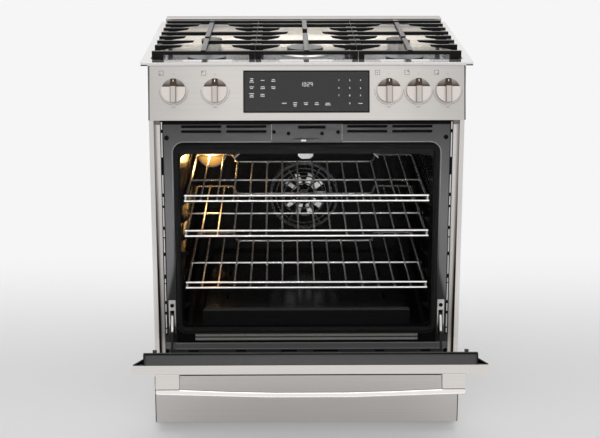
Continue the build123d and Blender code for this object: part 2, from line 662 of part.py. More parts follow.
# Insulation blanket over the top, the sides and the back of the cavity
blanket_front = FRAME_BACK + INSULATION_SETBACK
cavity_outside = CAVITY_HALF + SHEET
cavity_rear = BACK_WALL + SHEET
with BuildPart() as oven_insulation:
    with BuildSketch(front_plane(blanket_front)):
        with Locations((0, CAVITY_FLOOR)):
            Rectangle(
                2 * (cavity_outside + INSULATION),
                CAVITY_HEIGHT + SHEET + INSULATION,
                align=(Align.CENTER, Align.MIN),
            )
    extrude(amount=-(cavity_rear + INSULATION - blanket_front))
    with BuildSketch(front_plane(blanket_front)):
        with Locations((0, CAVITY_FLOOR)):
            Rectangle(2 * cavity_outside, CAVITY_HEIGHT + SHEET, align=(Align.CENTER, Align.MIN))
    extrude(amount=-(cavity_rear - blanket_front), mode=Mode.SUBTRACT)
    with BuildSketch(front_plane(cavity_rear)):
        with Locations((0, FAN_Z)):
            Circle(MOTOR_FLANGE + SHEET)
        with Locations((LAMP_X, LAMP_Z)):
            Circle(LAMP_SOCKET + SHEET)
    extrude(amount=-INSULATION, mode=Mode.SUBTRACT)
oven_insulation.part.label = "oven_insulation"
export_step(oven_insulation.part, "parts/oven_insulation.step")

# Door seal: a round-fronted rope that stands on the cavity's flange inside the mouth
closed_face = HINGE_Y - INNER_FACE
seal_front = closed_face + FIT
seal_width = MOUTH_WIDTH - 2 * SEAL_GAP
seal_height = MOUTH_TOP - MOUTH_BOTTOM - 2 * SEAL_GAP
seal_radius = MOUTH_RADIUS - SEAL_GAP
with BuildPart() as door_gasket:
    with BuildSketch(front_plane(FRAME_BACK)):
        with Locations((0, MOUTH_MID)):
            RectangleRounded(seal_width, seal_height, seal_radius)
            RectangleRounded(
                seal_width - 2 * SEAL_WIDTH,
                seal_height - 2 * SEAL_WIDTH,
                seal_radius - SEAL_WIDTH,
                mode=Mode.SUBTRACT,
            )
    extrude(amount=FRAME_BACK - seal_front)
    front_edges = door_gasket.faces().sort_by(Axis.Y)[0].edges()
    chamfer(front_edges, length=SEAL_WIDTH / 4)
door_gasket.part.label = "door_gasket"
export_step(door_gasket.part, "parts/door_gasket.step")

# Latch plate on the frame above the mouth
with BuildPart() as latch_plate:
    with BuildSketch(front_plane(FRONT_Y)):
        with Locations((0, LATCH_MID)):
            RectangleRounded(LATCH_WIDTH, LATCH_HEIGHT, SHEET)
        with Locations((HOOK_X + HOOK_TRAVEL / 2, HOOK_Z)):
            Rectangle(LATCH_SLOT, LATCH_SLOT_HEIGHT, mode=Mode.SUBTRACT)
        with Locations((LATCH_WINDOW_X, LATCH_MID + LATCH_WINDOW_UP)):
            SlotOverall(LATCH_WINDOW, LATCH_WINDOW_HEIGHT, mode=Mode.SUBTRACT)
    extrude(amount=SHEET)
latch_plate.part.label = "latch_plate"
export_step(latch_plate.part, "parts/latch_plate.step")

# Door latch: a hook on a slide bar behind the frame
with BuildPart() as door_latch:
    with BuildSketch(side_plane(HOOK_X)):
        with BuildLine():
            Polyline(
                (FRAME_BACK + HOOK_BACK, HOOK_Z - HOOK_HEIGHT / 2),
                (FRONT_Y - HOOK_REACH, HOOK_Z - HOOK_HEIGHT / 2),
                (FRONT_Y - HOOK_REACH, HOOK_Z + HOOK_HEIGHT / 2),
                (FRONT_Y - HOOK_REACH + HOOK_HEIGHT, HOOK_Z + HOOK_HEIGHT / 2),
                (FRONT_Y - HOOK_REACH + 2 * HOOK_HEIGHT, HOOK_Z),
                (FRAME_BACK + HOOK_BACK, HOOK_Z),
                close=True,
            )
        make_face()
    extrude(amount=HOOK_WIDTH / 2, both=True)
    with BuildSketch(front_plane(FRAME_BACK + FIT)):
        with Locations((HOOK_X, HOOK_Z - HOOK_HEIGHT / 2)):
            Rectangle(LATCH_SLOT + 2 * HOOK_TRAVEL, 2 * LATCH_SLOT_HEIGHT, align=(Align.CENTER, Align.MIN))
    extrude(amount=-2 * SHEET)
door_latch.part.label = "door_latch"
export_step(door_latch.part, "parts/door_latch.step")

# Oven floor: a raised sheet cover over the well, with heat slots along both sides
floor_width = CAVITY_WIDTH - 2 * FLOOR_SIDE
floor_depth = CAVITY_DEPTH - 2 * FLOOR_END
with BuildPart() as oven_floor:
    with BuildSketch(level(CAVITY_FLOOR)):
        with Locations((0, WELL_MID)):
            Rectangle(floor_width, floor_depth)
    extrude(amount=FLOOR_RISE)
    top_edges = oven_floor.faces().sort_by(Axis.Z)[-1].edges()
    chamfer(top_edges, length=FLOOR_EDGE)
    with BuildSketch(level(CAVITY_FLOOR)):
        with Locations((0, WELL_MID)):
            Rectangle(floor_width - 2 * FLOOR_SHEET, floor_depth - 2 * FLOOR_SHEET)
    extrude(amount=FLOOR_RISE - FLOOR_EDGE, mode=Mode.SUBTRACT)
    with BuildSketch(level(CAVITY_FLOOR + FLOOR_RISE - FLOOR_EDGE)):
        with Locations((0, WELL_MID)):
            Rectangle(floor_width - 2 * FLOOR_EDGE, floor_depth - 2 * FLOOR_EDGE)
    extrude(amount=FLOOR_EDGE - FLOOR_SHEET, mode=Mode.SUBTRACT)
    with BuildSketch(level(CAVITY_FLOOR + FLOOR_RISE - FLOOR_SHEET)):
        with Locations((0, WELL_MID)):
            slot_spread = floor_width - 2 * FLOOR_SLOT
            with GridLocations(slot_spread, floor_depth / (FLOOR_SLOTS + 1), 2, FLOOR_SLOTS):
                SlotOverall(FLOOR_SLOT, VENT_HEIGHT, rotation=90)
    extrude(amount=FLOOR_SHEET, mode=Mode.SUBTRACT)
oven_floor.part.label = "oven_floor"
export_step(oven_floor.part, "parts/oven_floor.step")

# Oven fan cover: a rim on the back wall and a guard of rings and arms
cover_front = BACK_WALL - COVER_DEPTH
with BuildPart() as fan_cover:
    with BuildSketch(front_plane(BACK_WALL)):
        with Locations((0, FAN_Z)):
            Circle(COVER_RADIUS)
            Circle(COVER_RADIUS - SHEET, mode=Mode.SUBTRACT)
    extrude(amount=COVER_DEPTH)
    with BuildSketch(front_plane(cover_front + COVER_WIRE)):
        with Locations((0, FAN_Z)):
            Circle(COVER_RADIUS)
            Circle(COVER_RINGS[0] - COVER_WIRE / 2, mode=Mode.SUBTRACT)
            Circle(COVER_CENTRE)
            for ring in COVER_RINGS[1:]:
                Circle(ring + COVER_WIRE / 2)
                Circle(ring - COVER_WIRE / 2, mode=Mode.SUBTRACT)
            Circle(COVER_CENTRE)
        with Locations((0, FAN_Z)):
            with PolarLocations(COVER_RADIUS / 2, COVER_ARMS):
                Rectangle(COVER_RADIUS - SHEET, COVER_WIRE)
    extrude(amount=COVER_WIRE)
fan_cover.part.label = "fan_cover"
export_step(fan_cover.part, "parts/fan_cover.step")

# Fan wheel: a back disc with tilted blades, a hub and its shaft
fan_back = BACK_WALL - FAN_STANDOFF
blade_tilt = radians(BLADE_TILT)
blade_middle = FAN_RADIUS - BLADE_RIM - BLADE_LENGTH / 2
blade_y = fan_back - (SHEET + BLADE_CHORD * sin(blade_tilt)) / 2


def blade_plane(turn):
    """Plane of one fan blade. Its X runs out from the wheel's middle, and its back edge meets the disc."""
    outwards = Vector(cos(turn), 0, sin(turn))
    aside = Vector(-sin(turn), 0, cos(turn))
    facing = aside * sin(blade_tilt) + Vector(0, -1, 0) * cos(blade_tilt)
    return Plane(origin=outwards * blade_middle + Vector(0, blade_y, FAN_Z), x_dir=outwards, z_dir=facing)


with BuildPart() as fan_wheel:
    with BuildSketch(front_plane(fan_back)):
        with Locations((0, FAN_Z)):
            Circle(FAN_RADIUS)
    extrude(amount=SHEET)
    with BuildSketch(front_plane(fan_back)):
        with Locations((0, FAN_Z)):
            Circle(FAN_HUB)
    extrude(amount=FAN_WIDTH)
    for blade in range(FAN_BLADES):
        with BuildSketch(blade_plane(radians(360 * blade / FAN_BLADES))):
            Rectangle(BLADE_LENGTH, BLADE_CHORD)
        extrude(amount=SHEET / 2, both=True)
    with BuildSketch(front_plane(fan_back)):
        with Locations((0, FAN_Z)):
            Circle(FAN_SHAFT)
    extrude(amount=-(FAN_STANDOFF + MOTOR_LENGTH / 2))
fan_wheel.part.label = "fan_wheel"
export_step(fan_wheel.part, "parts/fan_wheel.step")

# Fan motor on the outside of the back wall
with BuildPart() as fan_motor:
    with BuildSketch(front_plane(cavity_rear)):
        with Locations((0, FAN_Z)):
            Circle(MOTOR_FLANGE)
    extrude(amount=-2 * SHEET)
    with BuildSketch(front_plane(cavity_rear)):
        with Locations((0, FAN_Z)):
            Circle(MOTOR_RADIUS)
    extrude(amount=-MOTOR_LENGTH)
    with BuildSketch(front_plane(cavity_rear)):
        with Locations((0, FAN_Z)):
            Circle(FAN_SHAFT + RUN)
    extrude(amount=-2 * MOTOR_LENGTH / 3, mode=Mode.SUBTRACT)
fan_motor.part.label = "fan_motor"
export_step(fan_motor.part, "parts/fan_motor.step")

# Lamp socket through the back wall, and the domed lens in front of it
with BuildPart() as lamp_socket:
    with BuildSketch(front_plane(BACK_WALL)):
        with Locations((LAMP_X, LAMP_Z)):
            Circle(LAMP_RADIUS + LAMP_FLANGE)
    extrude(amount=LAMP_FLANGE)
    with BuildSketch(front_plane(BACK_WALL)):
        with Locations((LAMP_X, LAMP_Z)):
            Circle(LAMP_SOCKET)
    extrude(amount=-LAMP_SOCKET_DEPTH)
    with BuildSketch(front_plane(BACK_WALL - LAMP_FLANGE)):
        with Locations((LAMP_X, LAMP_Z)):
            Circle(LAMP_SOCKET - LAMP_FLANGE)
    extrude(amount=-(LAMP_FLANGE + LAMP_SOCKET_DEPTH / 2), mode=Mode.SUBTRACT)
lamp_socket.part.label = "lamp_socket"
export_step(lamp_socket.part, "parts/lamp_socket.step")

lens_plane = Plane(
    origin=(LAMP_X, BACK_WALL - LAMP_FLANGE, LAMP_Z),
    x_dir=(1, 0, 0),
    z_dir=(0, 0, 1),
)
dome_rise = LAMP_DOME - LAMP_FLANGE
dome_radius = (LAMP_RADIUS**2 + dome_rise**2) / (2 * dome_rise)
dome_half = atan2(LAMP_RADIUS, dome_radius - dome_rise) / 2
dome_point = (dome_radius * sin(dome_half), dome_radius * (1 - cos(dome_half)) - LAMP_DOME)
with BuildPart() as lamp_lens:
    with BuildSketch(lens_plane):
        with BuildLine():
            Line((0, 0), (LAMP_RADIUS, 0))
            Line((LAMP_RADIUS, 0), (LAMP_RADIUS, -LAMP_FLANGE))
            ThreePointArc((LAMP_RADIUS, -LAMP_FLANGE), dome_point, (0, -LAMP_DOME))
            Line((0, -LAMP_DOME), (0, 0))
        make_face()
    revolve(axis=Axis((LAMP_X, 0, LAMP_Z), (0, 1, 0)))
lamp_lens.part.label = "lamp_lens"
export_step(lamp_lens.part, "parts/lamp_lens.step")

# Broil burner: a bent tube under a folded reflector on the cavity's roof
reflector_y = FRAME_BACK + REFLECTOR_FRONT
reflector_mid = CAVITY_TOP - FLOOR_SHEET / 2
broil_z = CAVITY_TOP - FLOOR_SHEET - BURNER_TUBE + FIT
with BuildPart() as broil_burner:
    with BuildSketch(front_plane(reflector_y)):
        with BuildLine():
            Polyline(
                (-REFLECTOR_BOTTOM, CAVITY_TOP - REFLECTOR_DROP),
                (-REFLECTOR_TOP, reflector_mid),
                (REFLECTOR_TOP, reflector_mid),
                (REFLECTOR_BOTTOM, CAVITY_TOP - REFLECTOR_DROP),
            )
        trace(line_width=FLOOR_SHEET)
    extrude(amount=-REFLECTOR_LENGTH)
    with BuildLine(level(broil_z)) as broil_path:
        FilletPolyline(
            (-BROIL_HALF, BACK_WALL),
            (-BROIL_HALF, FRAME_BACK + BROIL_FRONT),
            (BROIL_HALF, FRAME_BACK + BROIL_FRONT),
            (BROIL_HALF, BACK_WALL),
            radius=BURNER_BEND,
        )
    with BuildSketch(Plane(origin=(-BROIL_HALF, BACK_WALL, broil_z), z_dir=(0, -1, 0))):
        Circle(BURNER_TUBE)
    sweep(path=broil_path.wires()[0])
broil_burner.part.label = "broil_burner"
export_step(broil_burner.part, "parts/broil_burner.step")

# Bake burner: a bent tube in the well, from its rear wall
well_rear = WELL_MID + WELL_DEPTH / 2
bake_z = CAVITY_FLOOR - BAKE_DROP
with BuildPart() as bake_burner:
    with BuildLine(level(bake_z)) as bake_path:
        FilletPolyline(
            (-BAKE_HALF, well_rear),
            (-BAKE_HALF, well_rear - BAKE_REACH),
            (BAKE_HALF, well_rear - BAKE_REACH),
            (BAKE_HALF, well_rear),
            radius=BURNER_BEND,
        )
    with BuildSketch(Plane(origin=(-BAKE_HALF, well_rear, bake_z), z_dir=(0, -1, 0))):
        Circle(BURNER_TUBE)
    sweep(path=bake_path.wires()[0])
bake_burner.part.label = "bake_burner"
export_step(bake_burner.part, "parts/bake_burner.step")

# Rack guides: ribbed sheets on both side walls, one rib under each rack position
with BuildPart() as rack_guides:
    with BuildSketch(front_plane(FRAME_BACK + GUIDE_FRONT)):
        guide_low = RACK_LOW + RACK_PITCH * (GUIDE_STEPS[0] - 0.5)
        guide_height = RACK_PITCH * len(GUIDE_STEPS)
        with Locations((CAVITY_HALF, guide_low)):
            Rectangle(GUIDE_SHEET, guide_height, align=(Align.MAX, Align.MIN))
        for step in GUIDE_STEPS:
            seat = RACK_LOW + RACK_PITCH * step - RACK_RAIL - FIT
            with BuildLine():
                Polyline(
                    (CAVITY_HALF - GUIDE_SHEET, seat),
                    (CAVITY_HALF - GUIDE_REACH, seat),
                    (CAVITY_HALF - GUIDE_REACH, seat - GUIDE_EDGE),
                    (CAVITY_HALF - GUIDE_SHEET, seat - GUIDE_REACH),
                    close=True,
                )
            make_face()
    extrude(amount=-GUIDE_LENGTH)
    mirror(about=Plane.YZ)
rack_guides.part.label = "rack_guides"
export_step(rack_guides.part, "parts/rack_guides.step")

# Wire racks. The back rail jogs forward past the fan cover, and the front has two rails.
rack_back = RACK_FRONT + RACK_DEPTH
rack_jog = rack_back - RACK_JOG
wire_xs = [RACK_SPACING * (i - (RACK_WIRES - 1) / 2) for i in range(RACK_WIRES)]
centre_limit = RACK_SPACING * RACK_CENTRE_WIRES / 2
for name, step in zip(("rack_lower", "rack_middle", "rack_upper"), RACK_STEPS):
    z = RACK_LOW + RACK_PITCH * step
    with BuildPart() as rack:
        with BuildLine(level(z)) as rim:
            FilletPolyline(
                (-RACK_HALF, RACK_FRONT),
                (-RACK_HALF, rack_back),
                (-RACK_JOG_HALF, rack_back),
                (-RACK_JOG_HALF + RACK_JOG_RUN, rack_jog),
                (RACK_JOG_HALF - RACK_JOG_RUN, rack_jog),
                (RACK_JOG_HALF, rack_back),
                (RACK_HALF, rack_back),
                (RACK_HALF, RACK_FRONT),
                radius=RACK_BEND,
            )
        with BuildSketch(Plane(origin=(-RACK_HALF, RACK_FRONT, z), x_dir=(1, 0, 0), z_dir=(0, 1, 0))):
            RegularPolygon(RACK_RAIL, 6)
        sweep(path=rim.wires()[0])
        with BuildSketch(side_plane(0)):
            with Locations((RACK_FRONT, z), (RACK_FRONT + RACK_RISE_BACK, z + RACK_RISE)):
                RegularPolygon(RACK_RAIL, 6)
        extrude(amount=RACK_HALF + RACK_RAIL, both=True)
        with BuildSketch(level(z)):
            with Locations((-RACK_HALF, RACK_FRONT + RACK_RISE_BACK), (RACK_HALF, RACK_FRONT + RACK_RISE_BACK)):
                RegularPolygon(RACK_RAIL, 6)
        extrude(amount=RACK_RISE)
        with BuildSketch(side_plane(0)):
            with Locations((RACK_FRONT + RACK_CROSS, z)):
                RegularPolygon(RACK_RAIL, 6)
        extrude(amount=RACK_HALF, both=True)
        for x in wire_xs:
            back = rack_jog if abs(x) < RACK_JOG_HALF else rack_back
            wire_z = z + RACK_RAIL
            if abs(x) < centre_limit:
                front_points = [(x, RACK_FRONT + 3 * RACK_RISE, wire_z)]
                front_points += [(x, RACK_FRONT + RACK_RISE_BACK, z + RACK_RISE)]
            else:
                front_points = [(x, RACK_FRONT, wire_z)]
            with BuildLine() as wire:
                Polyline((x, back, wire_z), *front_points)
            with BuildSketch(Plane(origin=(x, back, wire_z), x_dir=(1, 0, 0), z_dir=(0, -1, 0))):
                RegularPolygon(RACK_WIRE, 6)
            sweep(path=wire.wires()[0], transition=Transition.RIGHT)
    rack.part.label = name
    export_step(rack.part, f"parts/{name}.step")

# Cooktop: a pressed sheet with a turned-down edge and a sunk pan
pan_mid = PAN_FRONT + PAN_LENGTH / 2
flange_mid = FLANGE_Y + FLANGE_LENGTH / 2
with BuildPart() as cooktop:
    with BuildSketch(level(TOP_HEIGHT - FLANGE_LIP)):
        with Locations((0, flange_mid)):
            RectangleRounded(FLANGE_WIDTH, FLANGE_LENGTH, FLANGE_LIP)
    extrude(amount=FLANGE_LIP)
    with BuildSketch(level(TOP_HEIGHT - FLANGE_LIP)):
        with Locations((0, flange_mid)):
            RectangleRounded(FLANGE_WIDTH - 2 * SHEET, FLANGE_LENGTH - 2 * SHEET, FLANGE_LIP - SHEET)
    extrude(amount=FLANGE_LIP - SHEET, mode=Mode.SUBTRACT)
    with BuildSketch(level(PAN_UNDER)):
        with Locations((0, pan_mid)):
            RectangleRounded(PAN_WIDTH, PAN_LENGTH, PAN_RADIUS)
    extrude(amount=TOP_UNDER - PAN_UNDER)
    with BuildSketch(level(PAN_TOP)):
        with Locations((0, pan_mid)):
            RectangleRounded(PAN_WIDTH - 2 * SHEET, PAN_LENGTH - 2 * SHEET, PAN_RADIUS - SHEET)
    extrude(amount=PAN_DEPTH, mode=Mode.SUBTRACT)
    with BuildSketch(level(PAN_UNDER)):
        with Locations([(x, y) for x, y, cap, head in BURNERS]):
            Circle(THROAT)
    extrude(amount=SHEET, mode=Mode.SUBTRACT)
cooktop.part.label = "cooktop"
export_step(cooktop.part, "parts/cooktop.step")

# Rear trim: a raised box with the oven's outlet slots along its front
trim_rear = REAR_Y - TRIM_SETBACK
with BuildPart() as rear_trim:
    with BuildSketch(level(TOP_HEIGHT)):
        with Locations((0, trim_rear - TRIM_DEPTH / 2)):
            Rectangle(TRIM_WIDTH, TRIM_DEPTH)
    extrude(amount=TRIM_HEIGHT)
    top_edges = rear_trim.faces().sort_by(Axis.Z)[-1].edges()
    fillet(top_edges, radius=2 * SHEET)
    with BuildSketch(level(TOP_HEIGHT)):
        with Locations((0, trim_rear - TRIM_DEPTH / 2)):
            Rectangle(TRIM_WIDTH - 2 * SHEET, TRIM_DEPTH - 2 * SHEET)
    extrude(amount=TRIM_HEIGHT - 2 * SHEET, mode=Mode.SUBTRACT)
    with BuildSketch(front_plane(trim_rear - TRIM_DEPTH)):
        with Locations((0, TOP_HEIGHT + TRIM_HEIGHT / 2)):
            with GridLocations(TRIM_WIDTH / TRIM_SLOTS, 0, TRIM_SLOTS, 1):
                SlotOverall(TRIM_SLOT, TRIM_SLOT_HEIGHT)
    extrude(amount=-SHEET, mode=Mode.SUBTRACT)
rear_trim.part.label = "rear_trim"
export_step(rear_trim.part, "parts/rear_trim.step")

# Burner holders under the pan, each with a throat up through it
with BuildPart() as burner_bases:
    with BuildSketch(level(PAN_UNDER - HOLDER_HEIGHT)):
        with Locations([(x, y) for x, y, cap, head in BURNERS]):
            Circle(HOLDER_RADIUS)
    extrude(amount=HOLDER_HEIGHT)
    with BuildSketch(level(PAN_UNDER)):
        with Locations([(x, y) for x, y, cap, head in BURNERS]):
            Circle(THROAT - FIT)
    extrude(amount=SHEET)
burner_bases.part.label = "burner_bases"
export_step(burner_bases.part, "parts/burner_bases.step")

# Burner heads: cups with flame ports in their rims, the centre one on a wider ring
with BuildPart() as burner_heads:
    for x, y, cap_radius, head_radius in BURNERS:
        with BuildSketch(level(PAN_TOP)):
            with Locations((x, y)):
                Circle(head_radius)
        extrude(amount=HEAD_HEIGHT)
        with BuildSketch(level(PAN_TOP + HEAD_HEIGHT - PORT_HEIGHT)):
            with Locations((x, y)):
                Circle(head_radius - HEAD_RIM)
        extrude(amount=PORT_HEIGHT, mode=Mode.SUBTRACT)
        with BuildSketch(level(PAN_TOP + HEAD_HEIGHT - PORT_HEIGHT)):
            with Locations((x, y)):
                with PolarLocations(head_radius - HEAD_RIM / 2, HEAD_PORTS):
                    Rectangle(2 * HEAD_RIM, PORT_WIDTH)
        extrude(amount=PORT_HEIGHT, mode=Mode.SUBTRACT)
    with BuildSketch(level(PAN_TOP)):
        with Locations((0, CENTRE_BURNER_Y)):
            Circle(SPREADER)
    extrude(amount=SPREADER_HEIGHT)
    outer_edge = burner_heads.faces().filter_by(GeomType.CYLINDER).sort_by(SortBy.RADIUS)[-1].edges()
    chamfer(outer_edge.group_by(Axis.Z)[-1], length=SPREADER_HEIGHT / 2)
    with BuildSketch(level(PAN_TOP + SPREADER_HEIGHT / 2)):
        with Locations((0, CENTRE_BURNER_Y)):
            Circle(SPREADER - SPREADER_GROOVE)
            Circle(BURNERS[2][3], mode=Mode.SUBTRACT)
    extrude(amount=SPREADER_HEIGHT / 2, mode=Mode.SUBTRACT)
burner_heads.part.label = "burner_heads"
export_step(burner_heads.part, "parts/burner_heads.step")

# Burner caps: loose discs on the heads
with BuildPart() as burner_caps:
    for x, y, cap_radius, head_radius in BURNERS:
        with BuildSketch(level(PAN_TOP + HEAD_HEIGHT)):
            with Locations((x, y)):
                Circle(cap_radius)
        extrude(amount=CAP_HEIGHT)
    rims = burner_caps.edges().filter_by(GeomType.CIRCLE).group_by(Axis.Z)[-1]
    fillet(rims, radius=CAP_EDGE)
burner_caps.part.label = "burner_caps"
export_step(burner_caps.part, "parts/burner_caps.step")

# Spark igniters beside the heads
with BuildPart() as igniters:
    for x, y, cap_radius, head_radius in BURNERS:
        foot = SPREADER if x == 0 else head_radius
        with BuildSketch(level(PAN_TOP)):
            with Locations((x, y + foot + IGNITER_GAP)):
                Circle(IGNITER_RADIUS)
        extrude(amount=IGNITER_HEIGHT)
igniters.part.label = "igniters"
export_step(igniters.part, "parts/igniters.step")

# Grates: front and back bars, a low rail along each side that carries tapered fingers, cross bars from
# the rails to a raised spine, and feet down to the pan. Each row gives what stands left and right.
grate_mid = GRATE_FRONT + GRATE_LENGTH / 2
grate_back = GRATE_FRONT + GRATE_LENGTH
half_grate = GRATE_WIDTH / 2
left_rows = (
    ("short", "short"),
    ("long", "bar"),
    ("short", "short"),
    ("bar", "bar"),
    ("short", "short"),
    ("long", "long"),
)
centre_rows = (
    ("short", "short"),
    ("bar", "bar"),
    ("short", "short"),
    ("long", "long"),
    ("short", "short"),
    ("bar", "bar"),
)
right_rows = [(right, left) for left, right in left_rows]
side_breaks = ((FRONT_BURNER_Y + GRATE_ROW / 2, SPINE_GAP), (REAR_BURNER_Y + GRATE_ROW / 3, SPINE_GAP))
centre_breaks = ((CENTRE_BURNER_Y, SPINE_WIDE_GAP),)
inner_tips = {"short": SHORT_TIP, "long": LONG_TIP}
outer_tips = {"short": OUTER_SHORT_TIP, "long": OUTER_LONG_TIP}
for name, place, rows, breaks, outer_side in (
    ("grate_left", -GRATE_PITCH, left_rows, side_breaks, -1),
    ("grate_centre", 0.0, centre_rows, centre_breaks, 0),
    ("grate_right", GRATE_PITCH, right_rows, side_breaks, 1),
):
    with BuildPart() as grate:
        with BuildSketch(level(GRATE_TOP - BAR_TALL)):
            with Locations((place, GRATE_FRONT + GRATE_BAR / 2), (place, grate_back - GRATE_BAR / 2)):
                Rectangle(GRATE_WIDTH, GRATE_BAR)
        extrude(amount=BAR_TALL)
        with BuildSketch(level(GRATE_TOP - RAIL_BOTTOM)):
            rail_start = GRATE_FIRST_ROW - FINGER_WIDTH / 2
            for sign in (-1, 1):
                with Locations((place + sign * (half_grate - GRATE_RAIL / 2), rail_start)):
                    Rectangle(GRATE_RAIL, grate_back - rail_start, align=(Align.CENTER, Align.MIN))
        extrude(amount=RAIL_BOTTOM - RAIL_TOP)
        for row, kinds in enumerate(rows):
            row_y = GRATE_FIRST_ROW + GRATE_ROW * row
            with BuildSketch(front_plane(row_y)):
                for sign, kind in zip((-1, 1), kinds):
                    root = place + sign * half_grate
                    if kind == "bar":
                        with Locations(((root + place - sign * SPINE_WIDTH) / 2, GRATE_TOP)):
                            Rectangle(half_grate + SPINE_WIDTH, BAR_TALL, align=(Align.CENTER, Align.MAX))
                    else:
                        tips = outer_tips if sign == outer_side else inner_tips
                        tip = place + sign * tips[kind]
                        with BuildLine():
                            Polyline(
                                (root, GRATE_TOP),
                                (tip, GRATE_TOP),
                                (tip + sign * FINGER_TIP, GRATE_TOP - FINGER_TIP),
                                (root - sign * GRATE_RAIL, GRATE_TOP - FINGER_ROOT),
                                (root, GRATE_TOP - FINGER_ROOT),
                                close=True,
                            )
                        make_face()
            extrude(amount=FINGER_WIDTH / 2, both=True)
        with BuildSketch(level(GRATE_TOP - BAR_TALL)):
            with Locations((place, grate_mid)):
                Rectangle(SPINE_WIDTH, GRATE_LENGTH)
            for break_y, gap in breaks:
                with Locations((place, break_y)):
                    Rectangle(SPINE_WIDTH, gap, mode=Mode.SUBTRACT)
        extrude(amount=BAR_TALL + SPINE_RISE)
        with BuildSketch(level(GRATE_TOP - BAR_TALL)):
            for sign in (-1, 1):
                width = FOOT_WIDE if sign == outer_side else FOOT_WIDTH
                with Locations((place + sign * (half_grate - width / 2), GRATE_FRONT + FOOT_WIDTH / 2)):
                    Rectangle(width, FOOT_WIDTH)
                with Locations((place + sign * (half_grate - FOOT_WIDTH / 2), grate_back - FOOT_WIDTH / 2)):
                    Rectangle(FOOT_WIDTH, FOOT_WIDTH)
        extrude(amount=-(GRATE_TOP - BAR_TALL - PAN_TOP - FIT), taper=FOOT_TAPER)
    grate.part.label = name
    export_step(grate.part, f"parts/{name}.step")

# Control panel: a folded wedge, open at the back, with the window and the stem holes in its face
top_out_y = FRONT_Y - PANEL_TOP_OUT
bottom_out_y = FRONT_Y - PANEL_BOTTOM_OUT
sheet_run = SHEET / cos(PANEL_SLOPE)
with BuildPart() as control_panel:
    with BuildSketch(side_plane(0)):
        with BuildLine():
            Polyline(
                (top_out_y, TOP_UNDER),
                (bottom_out_y, PANEL_BOTTOM),
                (EDGE_Y, PANEL_BOTTOM),
                (EDGE_Y, TOP_UNDER),
                close=True,
            )
        make_face()
    extrude(amount=PANEL_WIDTH / 2, both=True)
    inner_out = bottom_out_y + sheet_run + SHEET * (top_out_y - bottom_out_y) / (TOP_UNDER - PANEL_BOTTOM)
    with BuildSketch(side_plane(0)):
        with BuildLine():
            Polyline(
                (top_out_y + sheet_run, TOP_UNDER),
                (inner_out, PANEL_BOTTOM + SHEET),
                (EDGE_Y, PANEL_BOTTOM + SHEET),
                (EDGE_Y, TOP_UNDER),
                close=True,
            )
        make_face()
    extrude(amount=PANEL_WIDTH / 2 - SHEET, both=True, mode=Mode.SUBTRACT)
    with BuildSketch(panel_plane):
        with Locations((DISPLAY_X, -DISPLAY_DROP)):
            Rectangle(DISPLAY_WIDTH + 2 * FIT, DISPLAY_HEIGHT + 2 * FIT)
        with Locations([(x, KNOB_RISE) for x in KNOB_X]):
            Circle(STEM_HOLE)
    extrude(amount=-2 * SHEET, mode=Mode.SUBTRACT)
control_panel.part.label = "control_panel"
export_step(control_panel.part, "parts/control_panel.step")

# Display glass in the panel's window, and the control board on posts behind it
with BuildPart() as display_glass:
    with BuildSketch(panel_plane.offset(DISPLAY_PROUD)):
        with Locations((DISPLAY_X, -DISPLAY_DROP)):
            Rectangle(DISPLAY_WIDTH, DISPLAY_HEIGHT)
    extrude(amount=-DISPLAY_GLASS)
display_glass.part.label = "display_glass"
export_step(display_glass.part, "parts/display_glass.step")

glass_back = DISPLAY_PROUD - DISPLAY_GLASS
with BuildPart() as control_board:
    with BuildSketch(panel_plane.offset(-BOARD_BACK)):
        with Locations((DISPLAY_X, -DISPLAY_DROP)):
            Rectangle(BOARD_WIDTH, BOARD_HEIGHT)
    extrude(amount=-BOARD_SHEET)
    with BuildSketch(panel_plane.offset(glass_back)):
        with Locations((DISPLAY_X, -DISPLAY_DROP)):
            with GridLocations(BOARD_WIDTH - 4 * BOARD_POST, BOARD_HEIGHT - 4 * BOARD_POST, 2, 2):
                Circle(BOARD_POST)
    extrude(amount=-(BOARD_BACK + glass_back))
    with BuildSketch(panel_plane.offset(-BOARD_BACK - BOARD_SHEET)):
        with Locations((DISPLAY_X, -DISPLAY_DROP)):
            with GridLocations(2 * RELAY_SIZE, 0, 4, 1):
                Rectangle(RELAY_SIZE, RELAY_SIZE)
    extrude(amount=-RELAY_SIZE / 2)
control_board.part.label = "control_board"
export_step(control_board.part, "parts/control_board.step")

